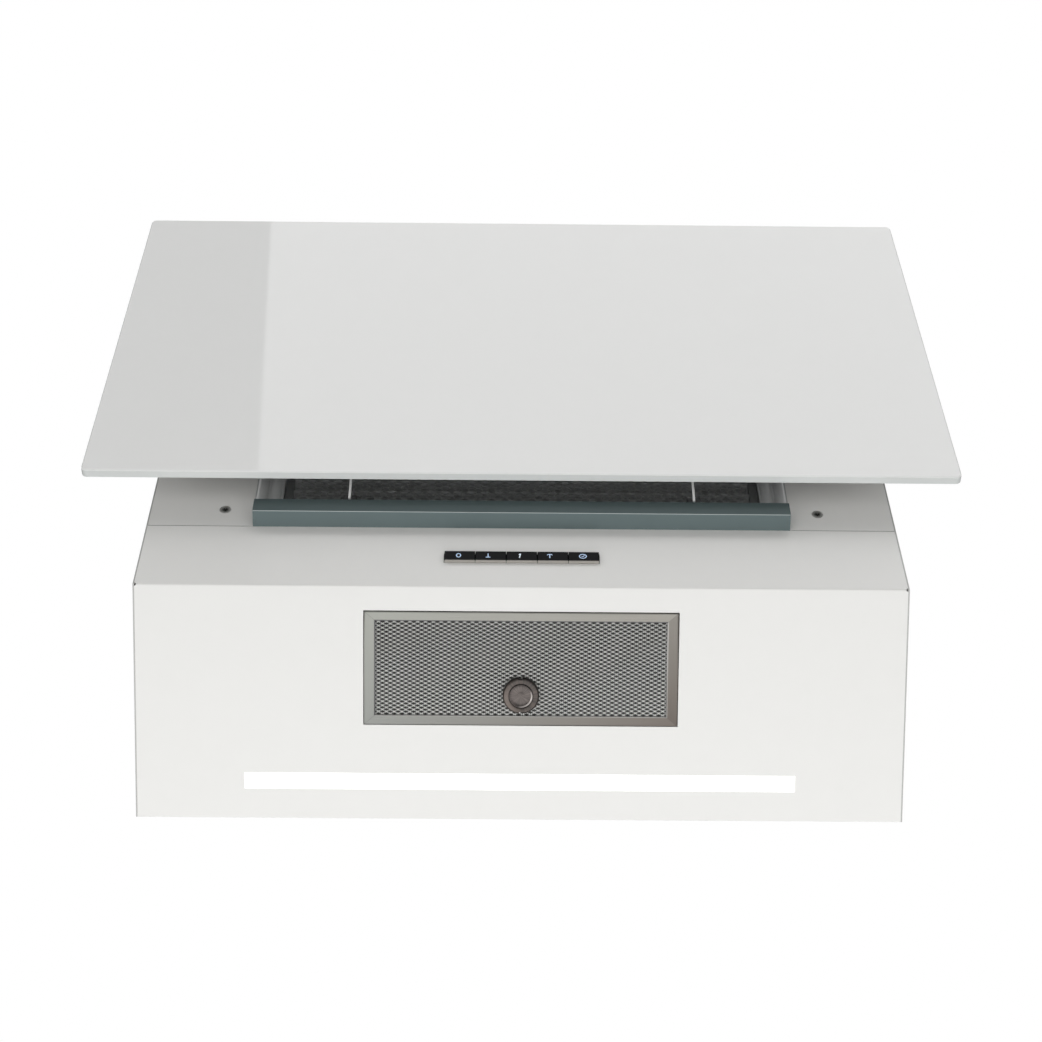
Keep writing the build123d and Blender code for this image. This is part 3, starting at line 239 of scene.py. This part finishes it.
# Lower shell and front plate: where they meet on the slope, their cut edges are bare and grey.
slope = math.radians(57.4)  # of the front, from the level underside
out_of_front = np.array([0.0, -math.sin(slope), -math.cos(slope)])
up_the_slope = np.array([0.0, -math.cos(slope), math.sin(slope)])
fold = np.array([0.0, -0.156, -0.225])  # middle of the edge between front strip and underside
cut_edge = (0.45, 0.45, 0.44)
wear(["lower_shell"], tinted("shell_enamel", enamel, up_the_slope, cut_edge, True, 0.9, 0.99))
wear(["front_plate"], tinted("plate_enamel", enamel, -up_the_slope, cut_edge, True, 0.9, 0.99))


# Back plate, latch catch and motor bracket: hot-dip galvanised sheet, its zinc grown in flat grains a
# few millimetres across, each with its own tone.
def shade(material, share):
    """Multiply a material's colour by the number that a socket gives."""
    tree = material.node_tree
    colour = shader_of(material)["Base Color"]
    shaded = tree.nodes.new("ShaderNodeVectorMath")
    shaded.operation = "SCALE"
    tree.links.new(colour.links[0].from_socket, shaded.inputs[0])
    tree.links.new(share, shaded.inputs["Scale"])
    tree.links.new(shaded.outputs["Vector"], colour)


def galvanised(name, across):
    """Zinc in grains: a cell pattern, one cell to a grain of the given width, sets its tone."""
    material = finish(name, (0.58, 0.59, 0.59), (0.54, 0.55, 0.55), 0.42, 0.06, 1200, 0.12, metallic=0.25)
    tree = material.node_tree
    place = tree.nodes.new("ShaderNodeTexCoord")
    grains = tree.nodes.new("ShaderNodeTexVoronoi")
    grains.inputs["Scale"].default_value = 1 / across
    tree.links.new(place.outputs["Object"], grains.inputs["Vector"])
    apart = tree.nodes.new("ShaderNodeSeparateColor")
    tree.links.new(grains.outputs["Color"], apart.inputs["Color"])
    tone = tree.nodes.new("ShaderNodeMapRange")
    tone.inputs["To Min"].default_value = 0.88
    tone.inputs["To Max"].default_value = 1.08
    tree.links.new(apart.outputs["Red"], tone.inputs["Value"])
    shade(material, tone.outputs["Result"])
    return material


wear(["back_plate", "latch_catch", "motor_bracket"], galvanised("zinc_grains", 0.007))

# Front panel: 6 mm toughened glass, painted white on its back, with a ground and polished edge that
# shows the grey-green of the glass.
white_glass = finish("white_glass", (0.885, 0.885, 0.875), (0.875, 0.875, 0.865), 0.03, 0.01, 90, 0.0)
wear(["glass_panel"], tinted("white_glass_panel", white_glass, out_of_front, (0.66, 0.68, 0.67), False))

# Panel hardware and fixings: bright zinc-plated steel for the panel frame, hinge brackets, ears, pins,
# hinge blocks, latch tongue, shaft and screws, faintly drawn along the strip it was cut from.
bright_steel = finish("bright_steel", (0.62, 0.62, 0.61), (0.56, 0.56, 0.55), 0.28, 0.10, 1400, 0.15,
                      metallic=1.0, stretch=(1, 6, 6))
wear(["panel_frame", "hinge_bracket_left", "hinge_bracket_right", "hinge_pins", "panel_ear_left",
      "panel_ear_right", "filter_hinge_left", "filter_hinge_right", "motor_screws", "outlet_screws",
      "flap_pins", "motor_shaft", "latch_tongue"], bright_steel)

# Plate screws: two countersunk steel screws, one on each side, with painted shade in their cross recess,
# darkest at its root.
screw_along, screw_off_middle = 0.0773, 0.2027
recess_root, recess_rim = 0.0007, 0.0036
screw_heads = np.abs(fold + screw_along * up_the_slope + np.array([screw_off_middle, 0.0, 0.0]))
screw_steel_painted_shade = bright_steel.copy()
screw_steel_painted_shade.name = "screw_steel_painted_shade"
tree = screw_steel_painted_shade.node_tree
place = tree.nodes.new("ShaderNodeTexCoord")
mirrored = tree.nodes.new("ShaderNodeVectorMath")
mirrored.operation = "ABSOLUTE"
tree.links.new(place.outputs["Object"], mirrored.inputs[0])
off_axis = tree.nodes.new("ShaderNodeVectorMath")
off_axis.operation = "DISTANCE"
off_axis.inputs[1].default_value = screw_heads.tolist()
tree.links.new(mirrored.outputs["Vector"], off_axis.inputs[0])
# Painted shade: the head's colour darkens from the rim of the recess to its root.
recess = tree.nodes.new("ShaderNodeMapRange")
recess.interpolation_type = "SMOOTHSTEP"
recess.inputs["From Min"].default_value = recess_root
recess.inputs["From Max"].default_value = recess_rim
recess.inputs["To Min"].default_value = 0.08
recess.inputs["To Max"].default_value = 1.15
tree.links.new(off_axis.outputs["Value"], recess.inputs["Value"])
shade(screw_steel_painted_shade, recess.outputs["Result"])
wear(["plate_screws"], screw_steel_painted_shade)

# Catch blades: thin steel plates of the panel frame, powder-coated white.
wear(["catch_blade_left", "catch_blade_right"],
     finish("white_powder", (0.86, 0.86, 0.85), (0.80, 0.80, 0.79), 0.35, 0.06, 1500, 0.2))

# Intake frame: pressed steel, grey lacquered, with two rounded beads down each side.
wear(["intake_frame"],
     finish("grey_lacquer", (0.50, 0.51, 0.51), (0.43, 0.44, 0.44), 0.4, 0.08, 800, 0.08, coat=0.2))

# Rail below the intake: an extruded profile, anodised slate grey, drawn lines along its length, and a
# painted highlight along its rounded crest.
slate = finish("slate_anodised", (0.078, 0.110, 0.112), (0.070, 0.101, 0.103), 0.38, 0.06, 1500, 0.10,
               metallic=0.3, stretch=(0.1, 1, 1))
# Painted highlight: faces of the rounded crest, between the front and lower faces, are coloured pale.
wear(["intake_rail"], tinted("slate_rail_painted_crest_highlight", slate, (out_of_front - up_the_slope) / math.sqrt(2),
                             (0.46, 0.50, 0.50), True, 0.945, 0.985))

# Catches: moulded dark plastic with a spring slot for the blade.
wear(["catch_clip_left", "catch_clip_right"],
     finish("catch_plastic", (0.035, 0.036, 0.036), (0.05, 0.05, 0.05), 0.45, 0.08, 900, 0.2))

# Knob bush and control box: moulded pale grey plastic.
pale_plastic = finish("pale_plastic", (0.60, 0.60, 0.59), (0.56, 0.56, 0.55), 0.45, 0.05, 900, 0.1)
wear(["knob_bush", "control_box", "control_lid"], pale_plastic)

# Keys: four push keys and a display window in black gloss acrylic. Their sides that look down at the
# fold are coloured a pale warm grey.
black_gloss = finish("black_gloss", (0.005, 0.005, 0.006), (0.008, 0.008, 0.009), 0.2, 0.04, 500, 0.0)
shader_of(black_gloss)["Specular IOR Level"].default_value = 0.05
gloss_pale_lower_sides = tinted("black_gloss_pale_lower_sides", black_gloss, -up_the_slope, (0.40, 0.38, 0.35), True)
wear(["key_power", "key_slower", "display_window", "key_faster", "key_timer"], gloss_pale_lower_sides)


# Key signs: thin lit shapes on the acrylic, one to each key: a ring, a stroke down to a bar, the figure
# one in the display, a stroke up to a bent bar, and a clock.
def skin(name, strips, material, body, ring=False, sharp=35.0):
    """Closed surface over strips of equal rings of points: each ring is joined to the next, and a
    strip's two ends are closed by a face, or joined to each other where ring is true. A strip whose
    faces would look inwards, by the sign of the volume round its middle, is turned."""
    strips = np.asarray(strips, float)
    count, rows, cols = strips.shape[:3]
    index = np.arange(count * rows * cols).reshape(count, rows, cols)
    near = index if ring else index[:, :-1]
    far = np.roll(index, -1, axis=1) if ring else index[:, 1:]
    quads = np.stack([near, np.roll(near, -1, 2), np.roll(far, -1, 2), far], axis=-1).reshape(count, -1, 4)
    points = strips.reshape(-1, 3)
    middle = strips.reshape(count, -1, 3).mean(axis=1)[:, None]
    a, b, c, d = (points[quads[..., n]] - middle for n in range(4))
    volume = (np.cross(a, b) * c).sum(axis=(1, 2)) + (np.cross(a, c) * d).sum(axis=(1, 2))
    turned = volume < 0
    quads[turned] = quads[turned][:, :, ::-1]
    faces = quads.reshape(-1, 4).tolist()
    if not ring:
        for ends, backwards in ((index[:, 0], ~turned), (index[:, -1], turned)):
            ends = ends.copy()
            ends[backwards] = ends[backwards][:, ::-1]
            faces += ends.tolist()
    mesh = bpy.data.meshes.new(name)
    mesh.from_pydata(points.tolist(), [], faces)
    mesh.shade_smooth()
    mesh.set_sharp_from_angle(angle=math.radians(sharp))
    mesh.materials.append(material)
    piece = bpy.data.objects.new(name, mesh)
    bpy.context.scene.collection.objects.link(piece)
    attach(piece, body)
    return piece


key_along, key_proud = 0.0287, 0.0022
key_face = fold + key_along * up_the_slope + key_proud * out_of_front
sign_high = 0.00006
sign_scale = 0.86
sign_glow = finish("lit_sign", (0.30, 0.40, 0.52), (0.24, 0.33, 0.45), 0.3, 0.05, 2000, 0.0)
shader_of(sign_glow)["Emission Color"].default_value = (0.46, 0.60, 0.84, 1)
shader_of(sign_glow)["Emission Strength"].default_value = 0.55
white_glow = sign_glow.copy()
white_glow.name = "lit_white"
shader_of(white_glow)["Emission Color"].default_value = (0.95, 1.0, 1.0, 1)


def sign(name, x, strokes, body, glow=sign_glow):
    """Sign on a key's face: each stroke is a line of points across and up the slope, in millimetres,
    with a width; its section is a flat bar, mitred at the points, and a closed line is joined up."""
    for n, (line, wide, closed) in enumerate(strokes):
        line = np.asarray(line, float) * sign_scale
        if closed:
            run = np.roll(line, -1, 0) - np.roll(line, 1, 0)
        else:
            run = np.gradient(line, axis=0)
        run /= np.linalg.norm(run, axis=1)[:, None]
        left = np.stack([-run[:, 1], run[:, 0]], axis=1) * wide * sign_scale / 2
        edges = np.stack([line - left, line + left, line + left, line - left], axis=1) / 1000
        high = np.array([-1, -1, 1, 1]) * sign_high / 2
        rings = (key_face + (edges[..., 0, None] + x / 1000) * np.array([1.0, 0.0, 0.0])
                 + edges[..., 1, None] * up_the_slope + high[:, None] * out_of_front)
        stroke = skin(name + "_" + str(n), rings[None], glow, body, ring=closed)


def arc(radius_x, radius_y, start=0.0, end=2 * math.pi, steps=32):
    """Points on an ellipse about the middle, from one angle to another; a full turn leaves its last
    point out."""
    turn = np.linspace(start, end, steps, endpoint=end - start < 2 * math.pi)
    return np.stack([radius_x * np.cos(turn), radius_y * np.sin(turn)], axis=1)


sign("sign_power", -42.0, [(arc(1.6, 2.1), 0.75, True)], "power_key")
sign("sign_slower", -22.4,
     [([(0, 2.3), (0, -1.6)], 0.7, False), ([(-1.8, -1.9), (1.8, -1.9)], 0.75, False)], "slower_key")
sign("sign_one", -1.15,
     [([(-0.9, 1.2), (0.1, 2.3), (0.35, 2.3), (-0.45, -2.3)], 0.85, False)], "hood_body", white_glow)
sign("sign_faster", 18.6,
     [([(0, -2.3), (0, 1.6)], 0.75, False),
      ([(-2.0, 1.0), (-1.2, 1.9), (1.2, 1.9), (2.0, 1.0)], 0.75, False)], "faster_key")
sign("sign_timer", 40.6,
     [(arc(2.7, 2.3), 0.7, True), ([(-1.0, 0.3), (-0.2, -0.8), (1.3, 1.0)], 0.6, False)], "timer_key")

# Dark moulded plastic: keypad housing, outlet collar, flaps and gland.
dark_plastic = finish("dark_plastic", (0.035, 0.037, 0.040), (0.045, 0.047, 0.050), 0.5, 0.06, 1200, 0.25)
wear(["keypad_housing", "outlet_collar", "damper_flap_front", "damper_flap_back", "cable_gland",
      "gland_nut"], dark_plastic)

# Circuit boards: green solder mask.
board_green = finish("board_green", (0.02, 0.16, 0.08), (0.03, 0.20, 0.10), 0.4, 0.1, 600, 0.3)
wear(["keypad_board", "control_board", "lamp_board"], board_green)

# Lamp: an opal diffuser, lit from behind by a strip of chips on a board in a U channel.
opal = finish("opal_lit", (0.90, 0.90, 0.90), (0.86, 0.86, 0.86), 0.4, 0.1, 1500, 0.1)
shader_of(opal)["Emission Color"].default_value = (1.0, 1.0, 1.0, 1)
shader_of(opal)["Emission Strength"].default_value = 1.0
wear(["lamp_diffuser"], opal)
mill_aluminium = finish("mill_aluminium", (0.72, 0.72, 0.71), (0.66, 0.66, 0.65), 0.35, 0.08, 1200, 0.15,
                        metallic=1.0, stretch=(0.1, 1, 1))
wear(["lamp_channel"], mill_aluminium)

# Main filter: an aluminium frame round a pleated sheet, covered by expanded metal. It sits in the dark
# behind the front panel, its metal dulled by use.
dull_aluminium = finish("dull_aluminium", (0.50, 0.51, 0.51), (0.40, 0.41, 0.41), 0.75, 0.12, 900, 0.3,
                        metallic=0.6, variety=120)
wear(["main_filter_media"], dull_aluminium)
wear(["main_filter_frame"],
     finish("dark_aluminium", (0.34, 0.35, 0.35), (0.27, 0.28, 0.28), 0.5, 0.08, 900, 0.1, metallic=0.6,
            stretch=(1, 4, 4)))


def expanded_metal(width, length, cell, strand, lean, x_axis, y_axis, z_axis, middle):
    """Strips of slit and stretched sheet. Every strip zigzags by a quarter of the cell's height, each
    second one the other way, so that neighbours meet in short flats at the knuckles; its flat section
    lies level there and leans about the strip halfway between, as the knife twists it. Millimetres
    in, metres out."""
    cell_x, cell_y = cell
    wide, thick = strand
    halves = int(width / (cell_x / 2))
    lines = int(length / (cell_y / 2))
    steps = np.array([-0.1, 0.1, 0.5])
    x = (np.arange(halves + 1)[:, None] + steps).ravel()[:-1]
    swing = np.interp(x, (np.arange(halves + 1)[:, None] + steps[:2]).ravel(),
                      np.repeat((-1.0) ** np.arange(halves + 1), 2)) * cell_y / 4
    twist = np.tile([0.0, 0.0, lean], halves + 1)[:-1]
    base = (np.arange(lines) - (lines - 1) / 2) * cell_y / 2
    y = base[:, None] + swing[None] * ((-1.0) ** np.arange(lines))[:, None]
    across = np.array([-wide, wide, wide, -wide]) / 2
    high = np.array([-thick, -thick, thick, thick]) / 2
    xyz = np.zeros((lines, len(x), 4, 3))
    xyz[..., 0] = ((x - halves / 2) * cell_x / 2)[None, :, None]
    xyz[..., 1] = y[:, :, None] + across * np.cos(twist)[:, None] - high * np.sin(twist)[:, None]
    xyz[..., 2] = across * np.sin(twist)[:, None] + high * np.cos(twist)[:, None]
    axes = np.array([x_axis, y_axis, z_axis], float)
    return np.asarray(middle) + (xyz / 1000) @ axes


main_mesh_along, main_mesh_in = 0.2314, 0.0029
main_mesh = expanded_metal(316.0, 281.0, (9.3, 5.4), (1.8, 0.4), -0.12, (1, 0, 0), up_the_slope,
                           out_of_front, fold + main_mesh_along * up_the_slope - main_mesh_in * out_of_front)
skin("main_filter_mesh", main_mesh, dull_aluminium, "main_filter")

# Lower filter: four mitred bars of brushed aluminium folded round the pack, each brushed along its own
# length, with a rolled inner edge and a stub axle at each front corner.
filter_width, filter_length, filter_start = 206.8, 75.7, 16.7
bar_side, bar_front = 7.8, 6.6
filter_middle = np.array([0.0, fold[1] + (filter_start + filter_length / 2) / 1000, fold[2]])


def bars_painted_light(name, painted_front_left, painted_front_right, painted_back_left, painted_back_right, lip_painted_shade, lip_painted_highlight):
    """Brushed metal whose grain follows each bar: the bar is told by which edge is nearer, and the
    mitre is a thin dark line where both are as near. Its colour carries painted light: painted
    reflection shades it between four corner tones, the right bar is painted darker, and the inner lip
    has painted shade on the front and left bars and a painted highlight on the other two."""
    material = finish(name, (1.0, 1.0, 1.0), (0.90, 0.90, 0.90), 0.30, 0.08, 1000, 0.12, metallic=1.0,
                      stretch=(0.03, 1, 1), variety=25)
    tree = material.node_tree
    shader = tree.nodes["Principled BSDF"]

    def maths(operation, first, second=0.0):
        step = tree.nodes.new("ShaderNodeMath")
        step.operation = operation
        step.use_clamp = operation == "MULTIPLY"
        for socket, value in zip(step.inputs, (first, second)):
            if isinstance(value, float):
                socket.default_value = value
            else:
                tree.links.new(value, socket)
        return step.outputs[0]

    def spread(value, low, high, to_low=0.0, to_high=1.0, clamp=True):
        step = tree.nodes.new("ShaderNodeMapRange")
        step.clamp = clamp
        limits = {"From Min": low, "From Max": high, "To Min": to_low, "To Max": to_high}
        for socket, number in limits.items():
            step.inputs[socket].default_value = number
        tree.links.new(value, step.inputs["Value"])
        return step.outputs["Result"]

    def blend(share, first, second, kind="MIX"):
        step = tree.nodes.new("ShaderNodeMix")
        step.data_type = "RGBA"
        step.blend_type = kind
        for socket, value in zip(("Factor", "A", "B"), (share, first, second)):
            if isinstance(value, float):
                step.inputs[socket].default_value = value
            elif isinstance(value, tuple):
                step.inputs[socket].default_value = (*value, 1)
            else:
                tree.links.new(value, step.inputs[socket])
        return step.outputs["Result"]

    place = tree.nodes.new("ShaderNodeTexCoord")
    centred = tree.nodes.new("ShaderNodeMapping")
    centred.inputs["Location"].default_value = tuple(-filter_middle)
    split = tree.nodes.new("ShaderNodeSeparateXYZ")
    tree.links.new(place.outputs["Object"], centred.inputs["Vector"])
    tree.links.new(centred.outputs["Vector"], split.inputs["Vector"])
    half_x, half_y = filter_width / 2000, filter_length / 2000
    near_x = spread(maths("ABSOLUTE", split.outputs["X"]), half_x, half_x - bar_side / 1000, clamp=False)
    near_y = spread(maths("ABSOLUTE", split.outputs["Y"]), half_y, half_y - bar_front / 1000, clamp=False)
    apart = maths("SUBTRACT", near_y, near_x)
    on_side = maths("GREATER_THAN", apart, 0.0)
    right = spread(split.outputs["X"], -half_x, half_x)
    back = spread(split.outputs["Y"], -half_y, half_y)
    # Painted reflection: the bars' tone runs between four corner tones that stand in for the light they
    # mirror.
    tone = blend(back, blend(right, painted_front_left, painted_front_right), blend(right, painted_back_left, painted_back_right))
    right_bar = maths("MULTIPLY", on_side, maths("GREATER_THAN", split.outputs["X"], 0.0))
    # Painted shade: the right bar is mixed three tenths of the way to near black.
    tone = blend(maths("MULTIPLY", right_bar, 0.3), tone, (0.05, 0.04, 0.035))
    toned = blend(1.0, shader.inputs["Base Color"].links[0].from_socket, tone, "MULTIPLY")
    # Painted light on the inner lip: painted shade on the front and left bars, a painted highlight on the
    # right and back.
    lip = spread(maths("MINIMUM", near_x, near_y), 0.85, 0.90)
    on_end = maths("SUBTRACT", 1.0, on_side)
    back_bar = maths("MULTIPLY", on_end, maths("GREATER_THAN", split.outputs["Y"], 0.0))
    lip_painted_light = blend(maths("ADD", right_bar, back_bar), lip_painted_shade, lip_painted_highlight)
    lipped = blend(lip, toned, lip_painted_light)
    line = spread(maths("ABSOLUTE", apart), 0.02, 0.05, 0.3, 0.0)
    seamed = blend(line, lipped, (0.05, 0.05, 0.05))
    tree.links.new(seamed, shader.inputs["Base Color"])
    grain = tree.nodes["grain"]
    across = tree.nodes.new("ShaderNodeMapping")
    across.inputs["Scale"].default_value = (1, 0.03, 1)
    tree.links.new(place.outputs["Object"], across.inputs["Vector"])
    chosen = tree.nodes.new("ShaderNodeMix")
    chosen.data_type = "VECTOR"
    tree.links.new(on_side, chosen.inputs["Factor"])
    tree.links.new(grain.inputs["Vector"].links[0].from_socket, chosen.inputs["A"])
    tree.links.new(across.outputs["Vector"], chosen.inputs["B"])
    tree.links.new(chosen.outputs["Result"], grain.inputs["Vector"])
    return material


# Section of a bar: how far in from the outer edge, as a share of the bar's width, and how high.
bar_section = np.array([
    (0.0, 9.0), (0.0, 0.6), (0.02, 0.15), (0.06, 0.02), (0.2, 0.0), (0.75, 0.05), (0.9, 0.12), (0.97, 0.35),
    (1.0, 0.75), (0.97, 1.0), (0.9, 0.85), (0.12, 0.8), (0.1, 1.2), (0.1, 8.2), (0.95, 8.2), (0.95, 9.0),
])
corners = np.array([(-1, -1), (1, -1), (1, 1), (-1, 1)], float)
surround = np.zeros((1, 4, len(bar_section), 3))
surround[0, ..., 0] = corners[:, :1] * (filter_width / 2 - bar_section[:, 0] * bar_side)
surround[0, ..., 1] = corners[:, 1:] * (filter_length / 2 - bar_section[:, 0] * bar_front)
surround[0, ..., 2] = bar_section[:, 1]
# The corner tones, the lip tones and the darker right bar are painted reflection, painted shade and painted
# highlight.
bar_metal = bars_painted_light("brushed_bars_painted_light", (0.235, 0.239, 0.218), (0.215, 0.206, 0.187), (0.185, 0.190, 0.179),
                       (0.115, 0.100, 0.089), (0.09, 0.09, 0.09), (0.25, 0.245, 0.235))
filter_surround = skin("lower_filter_surround", filter_middle + surround / 1000, bar_metal, "lower_filter",
                       ring=True, sharp=50)
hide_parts("lower_filter_frame")


def turned(profile, centre, axis, first, second, steps=64, notch=None):
    """Turned piece: a profile of radius and height, in millimetres, carried round an axis; notch
    takes a little off the radius in narrow steps round the turn."""
    profile = np.asarray(profile, float)
    turn = np.arange(steps) * 2 * math.pi / steps
    radius = np.repeat(profile[None, :, 0], steps, 0)
    if notch is not None:
        outer, less, places, wide = notch
        away = np.abs((turn[:, None] - np.array(places) + math.pi) % (2 * math.pi) - math.pi)
        notched = away.min(axis=1) < wide
        radius = np.where(notched[:, None] & (radius > outer), radius - less, radius)
    height = profile[:, 1]
    outward = np.cos(turn)[:, None, None] * first + np.sin(turn)[:, None, None] * second
    points = radius[..., None] * outward + height[None, :, None] * axis
    return np.asarray(centre) + np.swapaxes(points, 0, 1)[None] / 1000


pole = 0.02  # where a turned profile starts and ends, this close to its axis
x_way, y_way, z_way = np.eye(3)
axle_out, axle_in, axle_up = 0.103, 0.0193, 0.0024
for side, end in ((-1, "left"), (1, "right")):
    axle = turned([(pole, 0), (1.2, 0), (1.2, 3.6), (0.8, 4.0), (pole, 4.0)],
                  (side * axle_out, fold[1] + axle_in, fold[2] + axle_up), side * x_way, y_way, z_way, 20)
    stub = skin("filter_axle_" + end, axle, bright_steel, "lower_filter")

# Lower filter pack: expanded aluminium in front of a pad of knitted wire, coloured near black as
# painted shade of the depth behind the face. The strands carry a painted highlight at the knuckles,
# where the sheet lies level, and are darker between them.
knitted_painted_shade = finish("knitted_wire_painted_shade", (0.014, 0.014, 0.013), (0.045, 0.045, 0.042), 0.75, 0.15, 1800, 0.8,
                 metallic=0.2, variety=900)
wear(["lower_filter_media"], knitted_painted_shade)
face_lift = 0.00135
face_mesh = expanded_metal(203.0, 72.5, (5.13, 2.73), (0.95, 0.25), -0.45, x_way, y_way, z_way,
                           filter_middle + (0, 0, face_lift))
strand_metal = finish("strand_aluminium_painted_highlight", (0.20, 0.20, 0.195), (0.13, 0.13, 0.125), 0.4, 0.10, 1500, 0.2,
                      metallic=1.0, variety=700)
tree = strand_metal.node_tree
strand_colour = shader_of(strand_metal)["Base Color"]
level = tree.nodes.new("ShaderNodeAttribute")
level.attribute_name = "level"
# Painted highlight: the knuckles, where level is one, are mixed towards pale metal.
knuckle_painted_highlight = tree.nodes.new("ShaderNodeMix")
knuckle_painted_highlight.data_type = "RGBA"
knuckle_painted_highlight.inputs["B"].default_value = (0.80, 0.80, 0.775, 1)
tree.links.new(level.outputs["Fac"], knuckle_painted_highlight.inputs["Factor"])
tree.links.new(strand_colour.links[0].from_socket, knuckle_painted_highlight.inputs["A"])
tree.links.new(knuckle_painted_highlight.outputs["Result"], strand_colour)
face = skin("lower_filter_face", face_mesh, strand_metal, "lower_filter")
at_knuckle = np.resize([1.0, 1.0, 0.0], face_mesh.shape[1])
face.data.attributes.new("level", "FLOAT", "POINT").data.foreach_set(
    "value", np.broadcast_to(at_knuckle[:, None], face_mesh.shape[:3]).ravel()
)
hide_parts("lower_filter_mesh")

# Filter knob: turned and brushed metal cap with a rounded rim, two index notches and a recess, and in
# the recess a dished disc.
knob_in = 0.0716
knob_centre = np.array([0.0, fold[1] + knob_in, fold[2]])


def spun(name, colour, second, painted_glint, arc_from, arc_to, towards):
    """Turned metal: its grain runs out from the axis, and a band between two radii carries a painted
    highlight on the side that looks one way, a painted reflection of the light mixed into its colour."""
    material = finish(name, colour, second, 0.33, 0.08, 900, 0.15, metallic=0.8, variety=250)
    tree = material.node_tree
    shader = tree.nodes["Principled BSDF"]
    place = tree.nodes.new("ShaderNodeTexCoord")
    centred = tree.nodes.new("ShaderNodeMapping")
    centred.inputs["Location"].default_value = tuple(-knob_centre)
    flat = tree.nodes.new("ShaderNodeVectorMath")
    flat.operation = "MULTIPLY"
    flat.inputs[1].default_value = (1, 1, 0)
    radius = tree.nodes.new("ShaderNodeVectorMath")
    radius.operation = "LENGTH"
    way = tree.nodes.new("ShaderNodeVectorMath")
    way.operation = "NORMALIZE"
    facing = tree.nodes.new("ShaderNodeVectorMath")
    facing.operation = "DOT_PRODUCT"
    facing.inputs[1].default_value = towards
    tree.links.new(place.outputs["Object"], centred.inputs["Vector"])
    tree.links.new(centred.outputs["Vector"], flat.inputs[0])
    tree.links.new(flat.outputs["Vector"], radius.inputs[0])
    tree.links.new(flat.outputs["Vector"], way.inputs[0])
    tree.links.new(way.outputs["Vector"], facing.inputs[0])
    rays = tree.nodes.new("ShaderNodeTexNoise")
    rays.inputs["Scale"].default_value = 9.0
    rays.inputs["Detail"].default_value = 5.0
    tree.links.new(way.outputs["Vector"], rays.inputs["Vector"])
    tones = tree.nodes.new("ShaderNodeMix")
    tones.data_type = "RGBA"
    tones.inputs["A"].default_value = (*colour, 1)
    tones.inputs["B"].default_value = (*second, 1)
    contrast = tree.nodes.new("ShaderNodeMapRange")
    contrast.inputs["From Min"].default_value = 0.35
    contrast.inputs["From Max"].default_value = 0.65
    tree.links.new(rays.outputs["Fac"], contrast.inputs["Value"])
    tree.links.new(contrast.outputs["Result"], tones.inputs["Factor"])
    inner = tree.nodes.new("ShaderNodeMath")
    inner.operation = "GREATER_THAN"
    inner.inputs[1].default_value = arc_from / 1000
    outer = tree.nodes.new("ShaderNodeMath")
    outer.operation = "LESS_THAN"
    outer.inputs[1].default_value = arc_to / 1000
    tree.links.new(radius.outputs["Value"], inner.inputs[0])
    tree.links.new(radius.outputs["Value"], outer.inputs[0])
    turned_to = tree.nodes.new("ShaderNodeMapRange")
    turned_to.inputs["From Min"].default_value = 0.35
    turned_to.inputs["From Max"].default_value = 0.95
    tree.links.new(facing.outputs["Value"], turned_to.inputs["Value"])
    band = tree.nodes.new("ShaderNodeMath")
    band.operation = "MULTIPLY"
    tree.links.new(inner.outputs[0], band.inputs[0])
    tree.links.new(outer.outputs[0], band.inputs[1])
    share = tree.nodes.new("ShaderNodeMath")
    share.operation = "MULTIPLY"
    tree.links.new(band.outputs[0], share.inputs[0])
    tree.links.new(turned_to.outputs["Result"], share.inputs[1])
    # Painted highlight: the band is mixed towards the glint colour on the side that looks the given way.
    lit = tree.nodes.new("ShaderNodeMix")
    lit.data_type = "RGBA"
    lit.inputs["B"].default_value = (*painted_glint, 1)
    tree.links.new(share.outputs[0], lit.inputs["Factor"])
    tree.links.new(tones.outputs["Result"], lit.inputs["A"])
    tree.links.new(lit.outputs["Result"], shader.inputs["Base Color"])
    return material


# Painted highlights: a pale crescent on the knob's rim and a bright one on the disc's lip.
knob_metal_painted_highlight = spun("knob_metal_painted_highlight", (0.085, 0.071, 0.063), (0.045, 0.041, 0.039), (0.115, 0.096, 0.085),
                  8.2, 11.4, (-0.9, 0.44, 0))
knob = turned([
    (pole, 9.3), (3.0, 9.3), (3.0, 0.6), (11.3, 0.6), (11.8, 0.3), (12.0, -0.3), (12.0, -4.0), (11.8, -4.7),
    (11.3, -5.2), (10.6, -5.4), (8.6, -5.3), (8.08, -5.1), (8.0, -4.9), (8.0, -2.4), (pole, -2.4),
], knob_centre, z_way, x_way, y_way, 96, notch=(11.0, 1.3, (math.pi / 2, 3 * math.pi / 2), 0.09))
knob_cap = skin("filter_knob_cap", knob, knob_metal_painted_highlight, "latch_knob")
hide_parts("filter_knob")
disc_metal_painted_highlight = spun("disc_metal_painted_highlight", (0.120, 0.102, 0.095), (0.062, 0.055, 0.052), (0.50, 0.46, 0.44),
                  6.6, 7.5, (0.8, 0.6, 0))
disc = turned([
    (pole, -2.4), (7.8, -2.4), (7.8, -5.2), (7.6, -5.6), (7.3, -5.7), (7.0, -5.6), (6.5, -5.3), (5.0, -5.1),
    (3.0, -5.05), (2.6, -5.1), (2.2, -5.2), (0.8, -5.25), (pole, -5.25),
], knob_centre, z_way, x_way, y_way, 96)
knob_inlay = skin("filter_knob_disc", disc, disc_metal_painted_highlight, "latch_knob")
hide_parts("knob_disc")

# Blower: moulded grey scroll and wheel, and a motor in black stove enamel.
grey_plastic = finish("grey_plastic", (0.30, 0.31, 0.32), (0.26, 0.27, 0.28), 0.5, 0.06, 900, 0.2)
wear(["blower_scroll_left", "blower_scroll_right", "impeller"], grey_plastic)
wear(["motor"], finish("motor_enamel", (0.05, 0.05, 0.055), (0.07, 0.07, 0.075), 0.4, 0.1, 600, 0.2))
